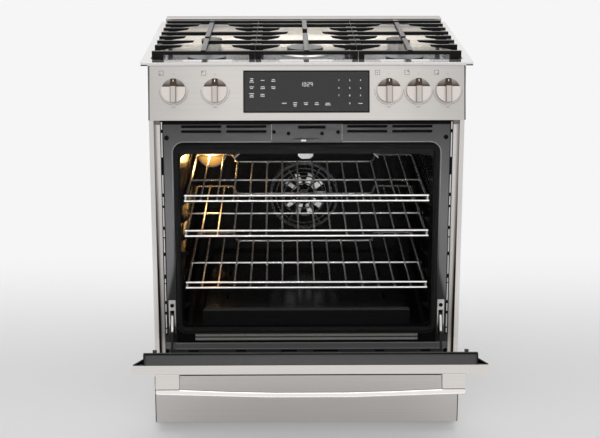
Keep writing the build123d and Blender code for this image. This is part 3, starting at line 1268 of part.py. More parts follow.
# Valve stems and knobs. The knob slides on the stem's flat, and the two turn together.
knob_back = KNOB_GAP
grip_out = knob_back + KNOB_SKIRT + GRIP_HEIGHT
bore_end = STEM_OUT + STEM_END_ROOM
for number, knob_x in enumerate(KNOB_X, start=1):
    with BuildPart() as valve_stem:
        with BuildSketch(panel_plane.offset(-STEM_IN)):
            with Locations((knob_x, KNOB_RISE)):
                Circle(STEM_RADIUS)
        extrude(amount=STEM_IN)
        with BuildSketch(panel_plane):
            with Locations((knob_x, KNOB_RISE)):
                Circle(STEM_RADIUS)
                with Locations((0, STEM_FLAT)):
                    Rectangle(2 * STEM_RADIUS, STEM_RADIUS, align=(Align.CENTER, Align.MIN), mode=Mode.SUBTRACT)
        extrude(amount=STEM_OUT)
    valve_stem.part.label = f"valve_stem_{number}"
    export_step(valve_stem.part, f"parts/valve_stem_{number}.step")

    with BuildPart() as knob:
        with BuildSketch(panel_plane.offset(knob_back)):
            with Locations((knob_x, KNOB_RISE)):
                Circle(KNOB_RADIUS)
        extrude(amount=KNOB_SKIRT)
        with BuildSketch(panel_plane.offset(knob_back + KNOB_SKIRT)):
            with Locations((knob_x, KNOB_RISE)):
                Circle(KNOB_RADIUS)
                with Locations((0, KNOB_STEP)):
                    Rectangle(2 * KNOB_RADIUS, KNOB_RADIUS, align=(Align.CENTER, Align.MIN), mode=Mode.SUBTRACT)
        extrude(amount=KNOB_FACE)
        with BuildSketch(panel_plane.offset(knob_back)):
            with Locations((knob_x, KNOB_RISE)):
                Rectangle(GRIP_WIDTH, 2 * KNOB_RADIUS)
                Circle(KNOB_RADIUS, mode=Mode.INTERSECT)
        extrude(amount=KNOB_SKIRT + GRIP_HEIGHT)
        knob_middle = panel_plane.from_local_coords(Vector(knob_x, KNOB_RISE, 0))
        with BuildSketch(Plane(origin=knob_middle, x_dir=panel_plane.y_dir, z_dir=panel_plane.x_dir)):
            with BuildLine():
                Polyline(
                    (KNOB_STEP, grip_out),
                    (KNOB_RADIUS, knob_back + KNOB_SKIRT + GRIP_TOE),
                    (KNOB_RADIUS + GRIP_TOE, grip_out),
                    close=True,
                )
            make_face()
        extrude(amount=GRIP_WIDTH, both=True, mode=Mode.SUBTRACT)
        with BuildSketch(panel_plane.offset(knob_back)):
            with Locations((knob_x, KNOB_RISE)):
                Circle(STEM_RADIUS + RUN)
                with Locations((0, STEM_FLAT + RUN)):
                    Rectangle(2 * KNOB_RADIUS, STEM_RADIUS, align=(Align.CENTER, Align.MIN), mode=Mode.SUBTRACT)
        extrude(amount=bore_end - knob_back, mode=Mode.SUBTRACT)
    knob.part.label = f"knob_{number}"
    export_step(knob.part, f"parts/knob_{number}.step")

# Valve bodies on the manifold behind the panel
with BuildPart() as valve_bodies:
    with BuildSketch(panel_plane.offset(-VALVE_FRONT)):
        with Locations([(x, KNOB_RISE) for x in KNOB_X]):
            RectangleRounded(VALVE_WIDTH, VALVE_HEIGHT, STEM_RADIUS)
    extrude(amount=-VALVE_LENGTH)
    with BuildSketch(panel_plane.offset(-VALVE_FRONT)):
        with Locations([(x, KNOB_RISE) for x in KNOB_X]):
            Circle(STEM_RADIUS + RUN)
    extrude(amount=-(STEM_IN - VALVE_FRONT + VALVE_BORE_ROOM), mode=Mode.SUBTRACT)
valve_bodies.part.label = "valve_bodies"
export_step(valve_bodies.part, "parts/valve_bodies.step")

# Manifold: a square pipe from side to side, and the bent supply pipe up from the regulator
manifold_back = VALVE_FRONT + VALVE_LENGTH
manifold_mid = panel_plane.from_local_coords(Vector(0, KNOB_RISE, -manifold_back - MANIFOLD / 2))
supply_y = REAR_Y - SHEET - SUPPLY_REAR
with BuildPart() as manifold_pipe:
    with BuildSketch(panel_plane.offset(-manifold_back)):
        with Locations((0, KNOB_RISE)):
            Rectangle(2 * INNER_HALF, MANIFOLD)
    extrude(amount=-MANIFOLD)
    with BuildLine() as supply_path:
        FilletPolyline(
            (SUPPLY_X, manifold_mid.Y, manifold_mid.Z),
            (SUPPLY_X, supply_y, manifold_mid.Z),
            (SUPPLY_X, supply_y, REGULATOR_TOP),
            radius=SUPPLY_BEND,
        )
    with BuildSketch(Plane(origin=(SUPPLY_X, manifold_mid.Y, manifold_mid.Z), z_dir=(0, 1, 0))):
        Circle(SUPPLY_RADIUS)
    sweep(path=supply_path.wires()[0])
manifold_pipe.part.label = "manifold_pipe"
export_step(manifold_pipe.part, "parts/manifold_pipe.step")

# Pressure regulator with its cap, and the threaded gas inlet through the rear panel
regulator_rear = REAR_Y - SHEET
with BuildPart() as gas_regulator:
    with BuildSketch(front_plane(regulator_rear)):
        with Locations((SUPPLY_X, inlet_z)):
            RectangleRounded(REGULATOR_SIZE, REGULATOR_SIZE, FOOT_PAD)
    extrude(amount=SUPPLY_REAR + SUPPLY_RADIUS + FOOT_PAD)
    with BuildSketch(front_plane(regulator_rear - SUPPLY_REAR - SUPPLY_RADIUS - FOOT_PAD)):
        with Locations((SUPPLY_X, inlet_z)):
            Circle(REGULATOR_CAP)
    extrude(amount=REGULATOR_CAP_LENGTH)
    with BuildSketch(front_plane(regulator_rear)):
        with Locations((SUPPLY_X, inlet_z)):
            Circle(INLET_RADIUS)
    extrude(amount=-(SHEET + INLET_OUT))
    with BuildSketch(front_plane(REAR_Y + INLET_OUT)):
        with Locations((SUPPLY_X, inlet_z)):
            Circle(INLET_BORE)
    extrude(amount=INLET_THREAD, mode=Mode.SUBTRACT)
gas_regulator.part.label = "gas_regulator"
export_step(gas_regulator.part, "parts/gas_regulator.step")

# Hinge receivers: a plate on the frame and a pocket behind it
with BuildPart() as hinge_receivers:
    with BuildSketch(front_plane(FRONT_Y)):
        with Locations((HINGE_X, (RECEIVER_TOP + RECEIVER_BOTTOM) / 2)):
            RectangleRounded(RECEIVER_WIDTH, RECEIVER_TOP - RECEIVER_BOTTOM, SHEET)
        with Locations((HINGE_X, RECEIVER_HOLE_Z)):
            Circle(RECEIVER_HOLE, mode=Mode.SUBTRACT)
    extrude(amount=SHEET)
    with BuildSketch(front_plane(FRONT_Y)):
        with Locations((HINGE_X, pocket_mid)):
            Rectangle(pocket_width, pocket_height)
    extrude(amount=-RECEIVER_DEPTH)
    with BuildSketch(front_plane(FRONT_Y - SHEET)):
        with Locations((HINGE_X, pocket_mid)):
            Rectangle(RECEIVER_SLOT, RECEIVER_SLOT_TOP - RECEIVER_SLOT_BOTTOM)
    extrude(amount=-(SHEET + RECEIVER_DEPTH - RECEIVER_WALL), mode=Mode.SUBTRACT)
    mirror(about=Plane.YZ)
hinge_receivers.part.label = "hinge_receivers"
export_step(hinge_receivers.part, "parts/hinge_receivers.step")

# Hinge arms: each hooks into its receiver and carries the door's pin at its lower end
claw_front = FRONT_Y - SHEET - FIT
with BuildPart() as hinge_arms:
    with BuildSketch(side_plane(HINGE_X)):
        with Locations((HINGE_Y, HINGE_Z)):
            Circle(ARM_EYE)
        with Locations((claw_front, RECEIVER_SLOT_BOTTOM)):
            Rectangle(SHEET, CLAW_HEIGHT, align=(Align.MAX, Align.MIN))
        make_hull()
        with Locations((claw_front, RECEIVER_SLOT_BOTTOM)):
            Rectangle(CLAW_DEPTH, CLAW_HEIGHT, align=(Align.MIN, Align.MIN))
    extrude(amount=ARM_SHEET / 2, both=True)
    with BuildSketch(side_plane(HINGE_X)):
        with Locations((HINGE_Y, HINGE_Z)):
            Circle(PIN_RADIUS)
    extrude(amount=ARM_SLOT / 2 + CHEEK, both=True)
    mirror(about=Plane.YZ)
hinge_arms.part.label = "hinge_arms"
export_step(hinge_arms.part, "parts/hinge_arms.step")

# Hinge channels in the door: two cheeks round the arm, joined by a web behind the skin
channel_back = INNER_FACE + SHEET
with BuildPart() as hinge_channels:
    with BuildSketch(door_plane.offset(channel_back)):
        with Locations((HINGE_X, -LINER_TAIL + SHEET)):
            Rectangle(ARM_SLOT + 2 * CHEEK, CHANNEL_LENGTH, align=(Align.CENTER, Align.MIN))
            Rectangle(ARM_SLOT, CHANNEL_LENGTH, align=(Align.CENTER, Align.MIN), mode=Mode.SUBTRACT)
    extrude(amount=CHANNEL_FRONT - channel_back)
    with BuildSketch(door_plane.offset(CHANNEL_FRONT - CHEEK)):
        with Locations((HINGE_X, CHANNEL_WEB_START)):
            Rectangle(
                ARM_SLOT + 2 * CHEEK,
                CHANNEL_LENGTH - LINER_TAIL + SHEET - CHANNEL_WEB_START,
                align=(Align.CENTER, Align.MIN),
            )
    extrude(amount=CHEEK)
    with BuildSketch(side_plane(HINGE_X)):
        with Locations((HINGE_Y, HINGE_Z)):
            Circle(PIN_RADIUS + RUN)
    extrude(amount=ARM_SLOT, both=True, mode=Mode.SUBTRACT)
    mirror(about=Plane.YZ)
hinge_channels.part.label = "hinge_channels"
export_step(hinge_channels.part, "parts/hinge_channels.step")

# Door skin: a shallow stainless pan with a return lip, the window and notches for the hinge arms
skin_length = DOOR_TOP + DOOR_TAIL
skin_mid = (DOOR_TOP - DOOR_TAIL) / 2
with BuildPart() as door_skin:
    with BuildSketch(door_plane.offset(JOINT_FACE)):
        with Locations((0, skin_mid)):
            Rectangle(DOOR_WIDTH, skin_length)
    extrude(amount=SKIN_DEPTH)
    with BuildSketch(door_plane.offset(JOINT_FACE + SHEET)):
        with Locations((0, skin_mid)):
            Rectangle(DOOR_WIDTH - 2 * SHEET, skin_length - 2 * SHEET)
    extrude(amount=SKIN_DEPTH - 2 * SHEET, mode=Mode.SUBTRACT)
    with BuildSketch(door_plane.offset(JOINT_FACE)):
        with Locations((0, skin_mid)):
            Rectangle(LINER_WIDTH - SKIN_LIP, skin_length - 2 * SKIN_LIP)
    extrude(amount=SHEET, mode=Mode.SUBTRACT)
    with BuildSketch(door_plane.offset(OUTER_FACE)):
        with Locations((0, WINDOW_MID)):
            RectangleRounded(WINDOW_WIDTH, WINDOW_HEIGHT, WINDOW_RADIUS)
    extrude(amount=-SHEET, mode=Mode.SUBTRACT)
    with BuildSketch(door_plane.offset(JOINT_FACE)):
        with Locations((-HINGE_X, -DOOR_TAIL), (HINGE_X, -DOOR_TAIL)):
            Rectangle(
                ARM_SLOT + 2 * (CHEEK + FIT),
                SKIN_LIP + SHEET,
                align=(Align.CENTER, Align.MIN),
            )
    extrude(amount=SKIN_DEPTH - OUTER_FACE - SHEET / 2, mode=Mode.SUBTRACT)
door_skin.part.label = "door_skin"
export_step(door_skin.part, "parts/door_skin.step")

# Door liner: the dark inner pan, with its window, the latch slot and slots for the hinge arms
liner_top = DOOR_TOP - LINER_INSET
liner_length = liner_top + LINER_TAIL
liner_mid = (liner_top - LINER_TAIL) / 2
arm_slot_length = LINER_TAIL + RECEIVER_SLOT_BOTTOM + CLAW_HEIGHT - HINGE_Z
with BuildPart() as door_liner:
    with BuildSketch(door_plane.offset(INNER_FACE)):
        with Locations((0, liner_mid)):
            RectangleRounded(LINER_WIDTH, liner_length, LINER_RADIUS)
    extrude(amount=LINER_DEPTH)
    with BuildSketch(door_plane.offset(INNER_FACE + SHEET)):
        with Locations((0, liner_mid)):
            RectangleRounded(LINER_WIDTH - 2 * SHEET, liner_length - 2 * SHEET, LINER_RADIUS - SHEET)
    extrude(amount=LINER_DEPTH - SHEET, mode=Mode.SUBTRACT)
    with BuildSketch(door_plane.offset(INNER_FACE)):
        with Locations((0, WINDOW_MID)):
            RectangleRounded(WINDOW_WIDTH, WINDOW_HEIGHT, WINDOW_RADIUS)
        with Locations((HOOK_X + HOOK_TRAVEL / 2, HOOK_Z - HINGE_Z)):
            Rectangle(HOOK_WIDTH + HOOK_TRAVEL + 2 * LATCH_SLOT_HEIGHT, 2 * LATCH_SLOT_HEIGHT)
    extrude(amount=SHEET, mode=Mode.SUBTRACT)
    with BuildSketch(door_plane.offset(INNER_FACE)):
        with Locations((-HINGE_X, -LINER_TAIL), (HINGE_X, -LINER_TAIL)):
            Rectangle(ARM_SLOT, arm_slot_length, align=(Align.CENTER, Align.MIN))
    extrude(amount=LINER_DEPTH, mode=Mode.SUBTRACT)
door_liner.part.label = "door_liner"
export_step(door_liner.part, "parts/door_liner.step")

# Door glass: one pane behind the skin's window, one behind the liner's
for name, plane_height in (
    ("door_outer_glass", OUTER_FACE - SHEET - GLASS),
    ("door_inner_glass", INNER_FACE + SHEET),
):
    with BuildPart() as pane:
        with BuildSketch(door_plane.offset(plane_height)):
            with Locations((0, WINDOW_MID)):
                Rectangle(WINDOW_WIDTH + 2 * GLASS_MARGIN, WINDOW_HEIGHT + 2 * GLASS_MARGIN)
        extrude(amount=GLASS)
    pane.part.label = name
    export_step(pane.part, f"parts/{name}.step")

# Handle: two end brackets on the skin and a slightly bowed bar
bracket_base = DOOR_TOP - BRACKET_HEIGHT
with BuildPart() as handle_brackets:
    with BuildSketch(door_plane.offset(OUTER_FACE)):
        bracket_x = HANDLE_HALF - BRACKET_WIDTH / 2
        with Locations((-bracket_x, bracket_base), (bracket_x, bracket_base)):
            Rectangle(BRACKET_WIDTH, BRACKET_HEIGHT, align=(Align.CENTER, Align.MIN))
    extrude(amount=HANDLE_STANDOFF)
handle_brackets.part.label = "handle_brackets"
export_step(handle_brackets.part, "parts/handle_brackets.step")

bar_back = OUTER_FACE + HANDLE_STANDOFF
straight_end = HANDLE_HALF - BRACKET_WIDTH
bar_plane = Plane(
    origin=door_plane.from_local_coords(Vector(0, bracket_base + BAR_DROP, 0)),
    x_dir=(1, 0, 0),
    z_dir=-door_plane.y_dir,
)
with BuildPart() as handle_bar:
    with BuildSketch(bar_plane):
        with BuildLine():
            Line((-HANDLE_HALF, bar_back), (-straight_end, bar_back))
            ThreePointArc((-straight_end, bar_back), (0, bar_back + BAR_BOW), (straight_end, bar_back))
            Line((straight_end, bar_back), (HANDLE_HALF, bar_back))
            Line((HANDLE_HALF, bar_back), (HANDLE_HALF, bar_back + BAR_DEPTH))
            ThreePointArc(
                (HANDLE_HALF, bar_back + BAR_DEPTH),
                (0, bar_back + BAR_DEPTH + BAR_BOW),
                (-HANDLE_HALF, bar_back + BAR_DEPTH),
            )
            Line((-HANDLE_HALF, bar_back + BAR_DEPTH), (-HANDLE_HALF, bar_back))
        make_face()
    extrude(amount=-BAR_HEIGHT)
handle_bar.part.label = "handle_bar"
export_step(handle_bar.part, "parts/handle_bar.step")

# Drawer front: a folded pan, open at the back
drawer_mid = DRAWER_BOTTOM + DRAWER_HEIGHT / 2
with BuildPart() as drawer_front:
    with BuildSketch(front_plane(DRAWER_FACE)):
        with Locations((0, drawer_mid)):
            Rectangle(DRAWER_WIDTH, DRAWER_HEIGHT)
    extrude(amount=-DRAWER_FRONT_DEPTH)
    with BuildSketch(front_plane(BOX_FRONT)):
        with Locations((0, drawer_mid)):
            Rectangle(DRAWER_WIDTH - 2 * SHEET, DRAWER_HEIGHT - 2 * SHEET)
    extrude(amount=-(DRAWER_FRONT_DEPTH - SHEET), mode=Mode.SUBTRACT)
drawer_front.part.label = "drawer_front"
export_step(drawer_front.part, "parts/drawer_front.step")

# Drawer box: an open tray with a runner along each side
box_mid = BOX_FRONT + BOX_LENGTH / 2
with BuildPart() as drawer_box:
    with BuildSketch(level(BOX_BOTTOM)):
        with Locations((0, box_mid)):
            Rectangle(2 * BOX_HALF, BOX_LENGTH)
    extrude(amount=BOX_HEIGHT)
    with BuildSketch(level(BOX_BOTTOM + SHEET)):
        with Locations((0, box_mid)):
            Rectangle(2 * (BOX_HALF - SHEET), BOX_LENGTH - 2 * SHEET)
    extrude(amount=BOX_HEIGHT - SHEET, mode=Mode.SUBTRACT)
    with BuildSketch(level(RUNNER_BOTTOM)):
        with Locations((-BOX_HALF, BASE_FRONT)):
            Rectangle(RUNNER_WIDTH, BOX_FRONT + BOX_LENGTH - BASE_FRONT, align=(Align.MAX, Align.MIN))
        with Locations((BOX_HALF, BASE_FRONT)):
            Rectangle(RUNNER_WIDTH, BOX_FRONT + BOX_LENGTH - BASE_FRONT, align=(Align.MIN, Align.MIN))
    extrude(amount=RUNNER_HEIGHT)
drawer_box.part.label = "drawer_box"
export_step(drawer_box.part, "parts/drawer_box.step")

# Drawer rails: folded channels on the base frame that hold the runners
rail_web = BOX_HALF + RUNNER_WIDTH + FIT + BASE_SHEET / 2
rail_floor = RUNNER_BOTTOM - FIT - BASE_SHEET / 2
rail_roof = RUNNER_BOTTOM + RUNNER_HEIGHT + FIT + BASE_SHEET / 2
rail_lip = BOX_HALF + SHEET
with BuildPart() as drawer_rails:
    with BuildSketch(front_plane(BASE_FRONT + BASE_SHEET)):
        with BuildLine():
            Polyline(
                (rail_lip, rail_roof),
                (rail_web, rail_roof),
                (rail_web, BASE_FLOOR + BASE_SHEET / 2),
                (rail_web + RAIL_FOOT, BASE_FLOOR + BASE_SHEET / 2),
            )
        trace(line_width=BASE_SHEET)
        with BuildLine():
            Line((rail_lip, rail_floor), (rail_web, rail_floor))
        trace(line_width=BASE_SHEET)
    extrude(amount=-(BASE_DEPTH - 2 * BASE_SHEET))
    mirror(about=Plane.YZ)
drawer_rails.part.label = "drawer_rails"
export_step(drawer_rails.part, "parts/drawer_rails.step")
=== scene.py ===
# %% [markdown]
# # A gas range with its oven door open
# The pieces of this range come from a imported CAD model, which stays as the fixed frame: each piece already
# sits where it belongs, in metres. This lesson gives every piece its finish, softens the edges that catch
# the light, and adds the small things a solid model leaves out: printed marks, screws, plugs, seams.

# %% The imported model
import bpy
import json
from math import atan2, cos, radians, sin
from mathutils import Matrix, Vector


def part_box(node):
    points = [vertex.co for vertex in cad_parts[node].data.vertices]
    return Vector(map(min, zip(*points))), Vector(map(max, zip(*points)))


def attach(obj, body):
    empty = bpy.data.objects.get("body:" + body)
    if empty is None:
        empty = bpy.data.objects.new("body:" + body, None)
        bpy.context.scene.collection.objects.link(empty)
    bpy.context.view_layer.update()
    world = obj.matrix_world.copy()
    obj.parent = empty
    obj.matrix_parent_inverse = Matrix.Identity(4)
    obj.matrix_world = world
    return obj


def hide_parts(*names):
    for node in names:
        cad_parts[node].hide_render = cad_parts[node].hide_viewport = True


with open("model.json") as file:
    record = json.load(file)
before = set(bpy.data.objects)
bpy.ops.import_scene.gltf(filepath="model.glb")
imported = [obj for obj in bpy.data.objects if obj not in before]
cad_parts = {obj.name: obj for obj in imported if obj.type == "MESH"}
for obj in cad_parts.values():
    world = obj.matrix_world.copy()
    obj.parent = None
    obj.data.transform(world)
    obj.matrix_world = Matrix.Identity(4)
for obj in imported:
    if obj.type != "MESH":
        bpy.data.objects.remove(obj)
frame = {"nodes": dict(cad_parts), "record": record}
nodes = frame["nodes"]
scene = bpy.context.scene
scene.view_settings.view_transform = "Standard"
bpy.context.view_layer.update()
slot_of = {part["node"]: part["material_slot"] for part in frame["record"]["subparts"]}
behaviour = frame["record"]["behaviour"]
body_of = {node: body for body, members in behaviour["bodies"].items() for node in members}

# %% [markdown]
# ## The camera
# The photograph was taken from the front, a little above, with a long lens. The focal length in pixels was
# found by laying the model's edges over the photograph, so it is turned into a lens length for a picture
# 600 pixels wide. A long lens far away keeps the sides of the range nearly upright.

# %% The camera
PICTURE_WIDTH = 600
FOCAL_PIXELS = 1515.9
SENSOR = 36.0
LOOK_DOWN = 15.7
LOOK_ASIDE = -0.6
CAMERA_PLACE = (-0.0539, -3.9021, 1.5460)
bpy.ops.object.camera_add(
    location=CAMERA_PLACE,
    rotation=(radians(90 - LOOK_DOWN), 0, radians(LOOK_ASIDE)),
)
camera = bpy.context.object
camera.name = "photo_camera"
camera.data.sensor_width = SENSOR
camera.data.lens = SENSOR * FOCAL_PIXELS / PICTURE_WIDTH
scene.camera = camera
print("lens", round(camera.data.lens, 1), "mm")

# %% [markdown]
# ## Sums in a material
# A finish is a small network of nodes. Wiring it by hand takes a line for every link, so one class wraps a
# node's output: adding or multiplying two of them adds the Math node that does it. Every other node comes
# from one method, which applies the settings first because they decide which inputs a node has.

# %% Sockets that can be added and multiplied
def operator(operation, swapped=False):
    """A method that joins two values by a Math node."""
    def method(self, other):
        first, second = (other, self) if swapped else (self, other)
        return self.node("Math", {"operation": operation}, {0: first, 1: second})

    return method


class Socket:
    """An output in a material's node tree."""

    __add__ = __radd__ = operator("ADD")
    __sub__ = operator("SUBTRACT")
    __rsub__ = operator("SUBTRACT", swapped=True)
    __mul__ = __rmul__ = operator("MULTIPLY")
    __gt__ = operator("GREATER_THAN")
    __lt__ = operator("LESS_THAN")
    most = operator("MAXIMUM")
    least = operator("MINIMUM")

    def __init__(self, tree, output=None):
        self.tree = tree
        self.output = output

    def __abs__(self):
        return self.node("Math", {"operation": "ABSOLUTE"}, {0: self})

    def node(self, kind, settings=None, inputs=None, out=0):
        """Adds a node, sets it up, fills its inputs and gives one of its outputs."""
        made = self.tree.nodes.new("ShaderNode" + kind)
        for name, value in (settings or {}).items():
            if name == "stops":
                while len(made.color_ramp.elements) < len(value):
                    made.color_ramp.elements.new(1.0)
                for element, (place, colour) in zip(made.color_ramp.elements, value):
                    element.position = place
                    element.color = (*colour, 1.0)
            else:
                setattr(made, name, value)
        for name, value in (inputs or {}).items():
            fill(made.inputs[name], value)
        return Socket(self.tree, made.outputs[out])

    def axis(self, name):
        """One coordinate of a vector."""
        return self.node("SeparateXYZ", inputs={"Vector": self}, out=name)

    def ramp(self, start, end, kind="LINEAR"):
        """A share that goes from 0 to 1 as this value goes from start to end."""
        inputs = {"Value": self, "From Min": start, "From Max": end}
        return self.node("MapRange", {"interpolation_type": kind}, inputs)

    def blend(self, low, high):
        """A colour between two others, by this share."""
        return self.node("Mix", {"data_type": "RGBA"}, {0: self, 6: low, 7: high}, out=2)

    def bump(self, depth, strength=1.0):
        """A normal that follows this height, whose full step is a depth in metres."""
        return self.node("Bump", inputs={"Height": self, "Distance": depth, "Strength": strength})


def fill(socket, value):
    """Links a socket to another or gives it a plain value."""
    if isinstance(value, Socket):
        value.tree.links.new(value.output, socket)
    elif socket.type == "RGBA":
        socket.default_value = (*value, 1.0)
    else:
        socket.default_value = value


def finish(name, recipe, constants=None):
    """A material: constants go on the shader, the recipe works out what changes over the surface."""
    material = bpy.data.materials.new(name)
    material.use_nodes = True
    tree = material.node_tree
    shader = tree.nodes["Principled BSDF"]
    for socket, value in {**(constants or {}), **recipe(Socket(tree))}.items():
        fill(shader.inputs[socket], value)
    return material


def here(net):
    """Object coordinates, in metres."""
    return net.node("TexCoord", out="Object")


def place(net, scale=(1.0, 1.0, 1.0)):
    """Object coordinates, stretched along each axis."""
    return net.node("Mapping", inputs={"Vector": here(net), "Scale": scale})


def grain(net, scale, detail=3.0, stretch=(1.0, 1.0, 1.0)):
    """Noise from 0 to 1; a scale of 1000 has marks about a millimetre apart."""
    where = place(net, stretch)
    return net.node("TexNoise", inputs={"Vector": where, "Scale": scale, "Detail": detail})


def cells(net, scale, out):
    """Cells of random shape: the distance from their middles, or a colour for each."""
    return net.node("TexVoronoi", inputs={"Vector": place(net), "Scale": scale}, out=out)


def grey(tone):
    return (tone, tone, tone)


def along(net, direction, origin):
    """How far a point is from an origin, measured along a direction."""
    inputs = {0: here(net), 1: direction}
    return net.node("VectorMath", {"operation": "DOT_PRODUCT"}, inputs, "Value") - direction.dot(origin)


def aside(net):
    """How far a point is from the middle plane, to either side."""
    return abs(here(net).axis("X"))


def facing_up(net):
    """1 on a face that looks up, -1 on one that looks down."""
    return net.node("NewGeometry", out="Normal").axis("Z")


def look(colour, roughness, normal=None):
    """What most recipes give back: the shader's inputs by name."""
    inputs = {"Base Color": colour, "Roughness": roughness}
    return {**inputs, "Normal": normal} if normal else inputs


def speckled(scale, detail, low, high, roughness, relief=None, stretch=(1.0, 1.0, 1.0)):
    """The recipe of an even finish: one noise sets its colour, its roughness and any relief."""
    def recipe(net):
        speck = grain(net, scale, detail, stretch)
        normal = speck.bump(*relief) if relief else None
        return look(speck.blend(low, high), roughness[0] + roughness[1] * speck, normal)

    return recipe


def shaded(base, share, colour):
    """A look whose colour goes over to another by a share."""
    base["Base Color"] = share.blend(base["Base Color"], colour)
    return base


# %% [markdown]
# ## The metals
# Brushed stainless steel is polished with a belt along its length, so its tiny scratches all run one way. A
# noise that is stretched along X gives those scratches: they change the roughness a little, tint the colour
# a very little and tilt the surface by microns. Chrome wire is smoother and brighter, zinc shows the large
# crystals of its bath, and cast pieces have an even grain. Some finishes also carry painted shade by place:
# steel is painted darker in a fold, at the panel's ends and on the upper step of a knob, chrome is painted
# darker on the side that looks down, and the pan carries a painted reflection, grey at the front and cream at
# the rear.

# %% Metals
def brushed(net):
    scratch = grain(net, 1.0, 4.0, (2.5, 900.0, 900.0))
    smear = grain(net, 6.0, 2.0)
    return look(
        scratch.blend((0.58, 0.55, 0.525), (0.72, 0.69, 0.665)),
        0.22 + 0.12 * scratch + 0.06 * smear,
        scratch.bump(0.00002, 0.5),
    )


STRIP_INSIDE = 0.3595
STRIP_FOLD = 0.3655
STRIP_EDGE = 0.3686
STRIP_LOW = (0.72, 0.30)
PANEL_SHADOW = 0.777


def rolled(net):
    """Brushed steel with painted shade: darker into the fold beside the oven, most of all low down near the
    door, and darker at the top under the panel.
    """
    steel = brushed(net)
    side = aside(net)
    height = here(net).axis("Z")
    low = height.ramp(*STRIP_LOW)
    fold_shade = side.ramp(STRIP_INSIDE, STRIP_FOLD)
    shade = fold_shade * (0.5 + 0.35 * low) + 0.42 * low * low
    shade = shade.most(0.75 * (height > PANEL_SHADOW)) * (side < STRIP_EDGE)
    return shaded(steel, shade, (0.012, 0.010, 0.009))


PANEL_SHADE_FADE = (0.2, 0.40)


def panel_steel(net):
    """Brushed steel with painted shade, a little darker towards the panel's ends."""
    end_shade = 0.28 * aside(net).ramp(*PANEL_SHADE_FADE)
    return shaded(brushed(net), end_shade, (0.10, 0.095, 0.09))


def trim_steel(net):
    """The vent trim's steel, duller from heat."""
    return shaded(brushed(net), 0.32 + 0.1 * grain(net, 12.0), (0.10, 0.097, 0.095))


polished = speckled(
    1.0, 3.0, (0.76, 0.73, 0.71), (0.86, 0.83, 0.81), (0.15, 0.08), (0.00001, 0.4), (3.0, 900.0, 900.0)
)
PANEL_LEAN = 0.036
KNOB_RISE = 0.002
KNOB_STEP = 0.009
KNOB_RADIUS = 0.0285
panel_low, panel_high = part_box("control_panel")
panel_up = Vector((0.0, PANEL_LEAN, panel_high.z - panel_low.z)).normalized()
panel_middle = Vector((0.0, panel_low.y + PANEL_LEAN / 2, (panel_low.z + panel_high.z) / 2))
panel_out = Vector((1.0, 0.0, 0.0)).cross(panel_up)
GRIP_FOOT = 0.0125
FACE_LEVEL = 0.017
GRIP_LEVEL = 0.029
GRIP_HALF = 0.007
FOLD_SOFT = 0.0004
FACE_ROUND = 0.0012
GRIP_ROUND = 0.0015
GRIP_SIDE = 0.0016
KNOB_PLACES = [sum(corner.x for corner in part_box(f"knob_{number}")) / 2 for number in range(1, 6)]


def satin(net):
    """Satin metal with painted shade: dark on the knob's upper step, its slope and the walls of its grip, and
    on the grip's top, most at its edges.
    """
    scratch = grain(net, 1.0, 3.0, (60.0, 1400.0, 1400.0))
    wear = grain(net, 60.0, 2.0)
    height = along(net, panel_up, panel_middle) - KNOB_RISE
    level = along(net, panel_out, panel_middle)
    hollow = height.ramp(KNOB_STEP - FOLD_SOFT, KNOB_STEP + FOLD_SOFT)
    shade = hollow * (1.0 - 0.5 * height.ramp(KNOB_STEP, KNOB_RADIUS * 0.9))
    slope = hollow * (level > GRIP_FOOT)
    wall = 0.7 * (level > FACE_LEVEL + FACE_ROUND) * (level < GRIP_LEVEL - GRIP_ROUND)
    x = here(net).axis("X")
    beside = abs(x - KNOB_PLACES[0])
    for place_x in KNOB_PLACES[1:]:
        beside = beside.least(abs(x - place_x))
    top = (level > GRIP_LEVEL - GRIP_ROUND) * (0.2 + 0.55 * (beside > GRIP_HALF - GRIP_SIDE))
    metal = scratch.blend((0.64, 0.58, 0.54), (0.76, 0.70, 0.66))
    shade = shade.most(slope).most(wall).most(top)
    return look(
        shade.blend(metal, (0.035, 0.025, 0.019)),
        0.24 + 0.1 * scratch + 0.05 * wear,
        scratch.bump(0.00002, 0.4),
    )


def plated(net):
    """Chrome with painted shade: dark on the side that looks down."""
    haze = grain(net, 40.0, 2.0)
    bright = haze.blend((0.80, 0.79, 0.78), (0.92, 0.91, 0.90))
    underside_shade = facing_up(net).ramp(0.15, -0.45)
    return look(underside_shade.blend(bright, (0.09, 0.088, 0.085)), 0.18 + 0.12 * haze)


PAN_REAR = (0.10, 0.19)
PAN_FRONT = (0.14, 0.02)
FLANGE_RISE = (0.920, 0.929)


def pan_steel(net):
    """Polished steel with a painted reflection, grey at the front and cream at the rear, where it is also
    satin; plain steel on the flange.
    """
    scratch = grain(net, 1.0, 4.0, (3.0, 700.0, 700.0))
    smear = grain(net, 10.0, 3.0)
    back = here(net).axis("Y")
    rear = back.ramp(*PAN_REAR)
    flange = here(net).axis("Z").ramp(*FLANGE_RISE)
    cream_reflection = scratch.blend((0.90, 0.85, 0.77), (0.97, 0.93, 0.87))
    cream_reflection = back.ramp(*PAN_FRONT).blend(cream_reflection, (0.50, 0.50, 0.52))
    return {
        "Base Color": flange.blend(cream_reflection, (0.70, 0.68, 0.665)),
        "Metallic": (0.85 - 0.65 * rear).most(0.85 * flange),
        "Roughness": 0.10 + 0.06 * scratch + 0.03 * smear + 0.15 * rear,
        "Normal": scratch.bump(0.00001, 0.4),
    }


def zinc(net):
    tone = net.node("RGBToBW", inputs={"Color": cells(net, 90.0, "Color")})
    return look(
        tone.blend((0.42, 0.43, 0.44), (0.60, 0.61, 0.62)),
        0.3 + 0.15 * tone,
        tone.bump(0.00004, 0.3),
    )


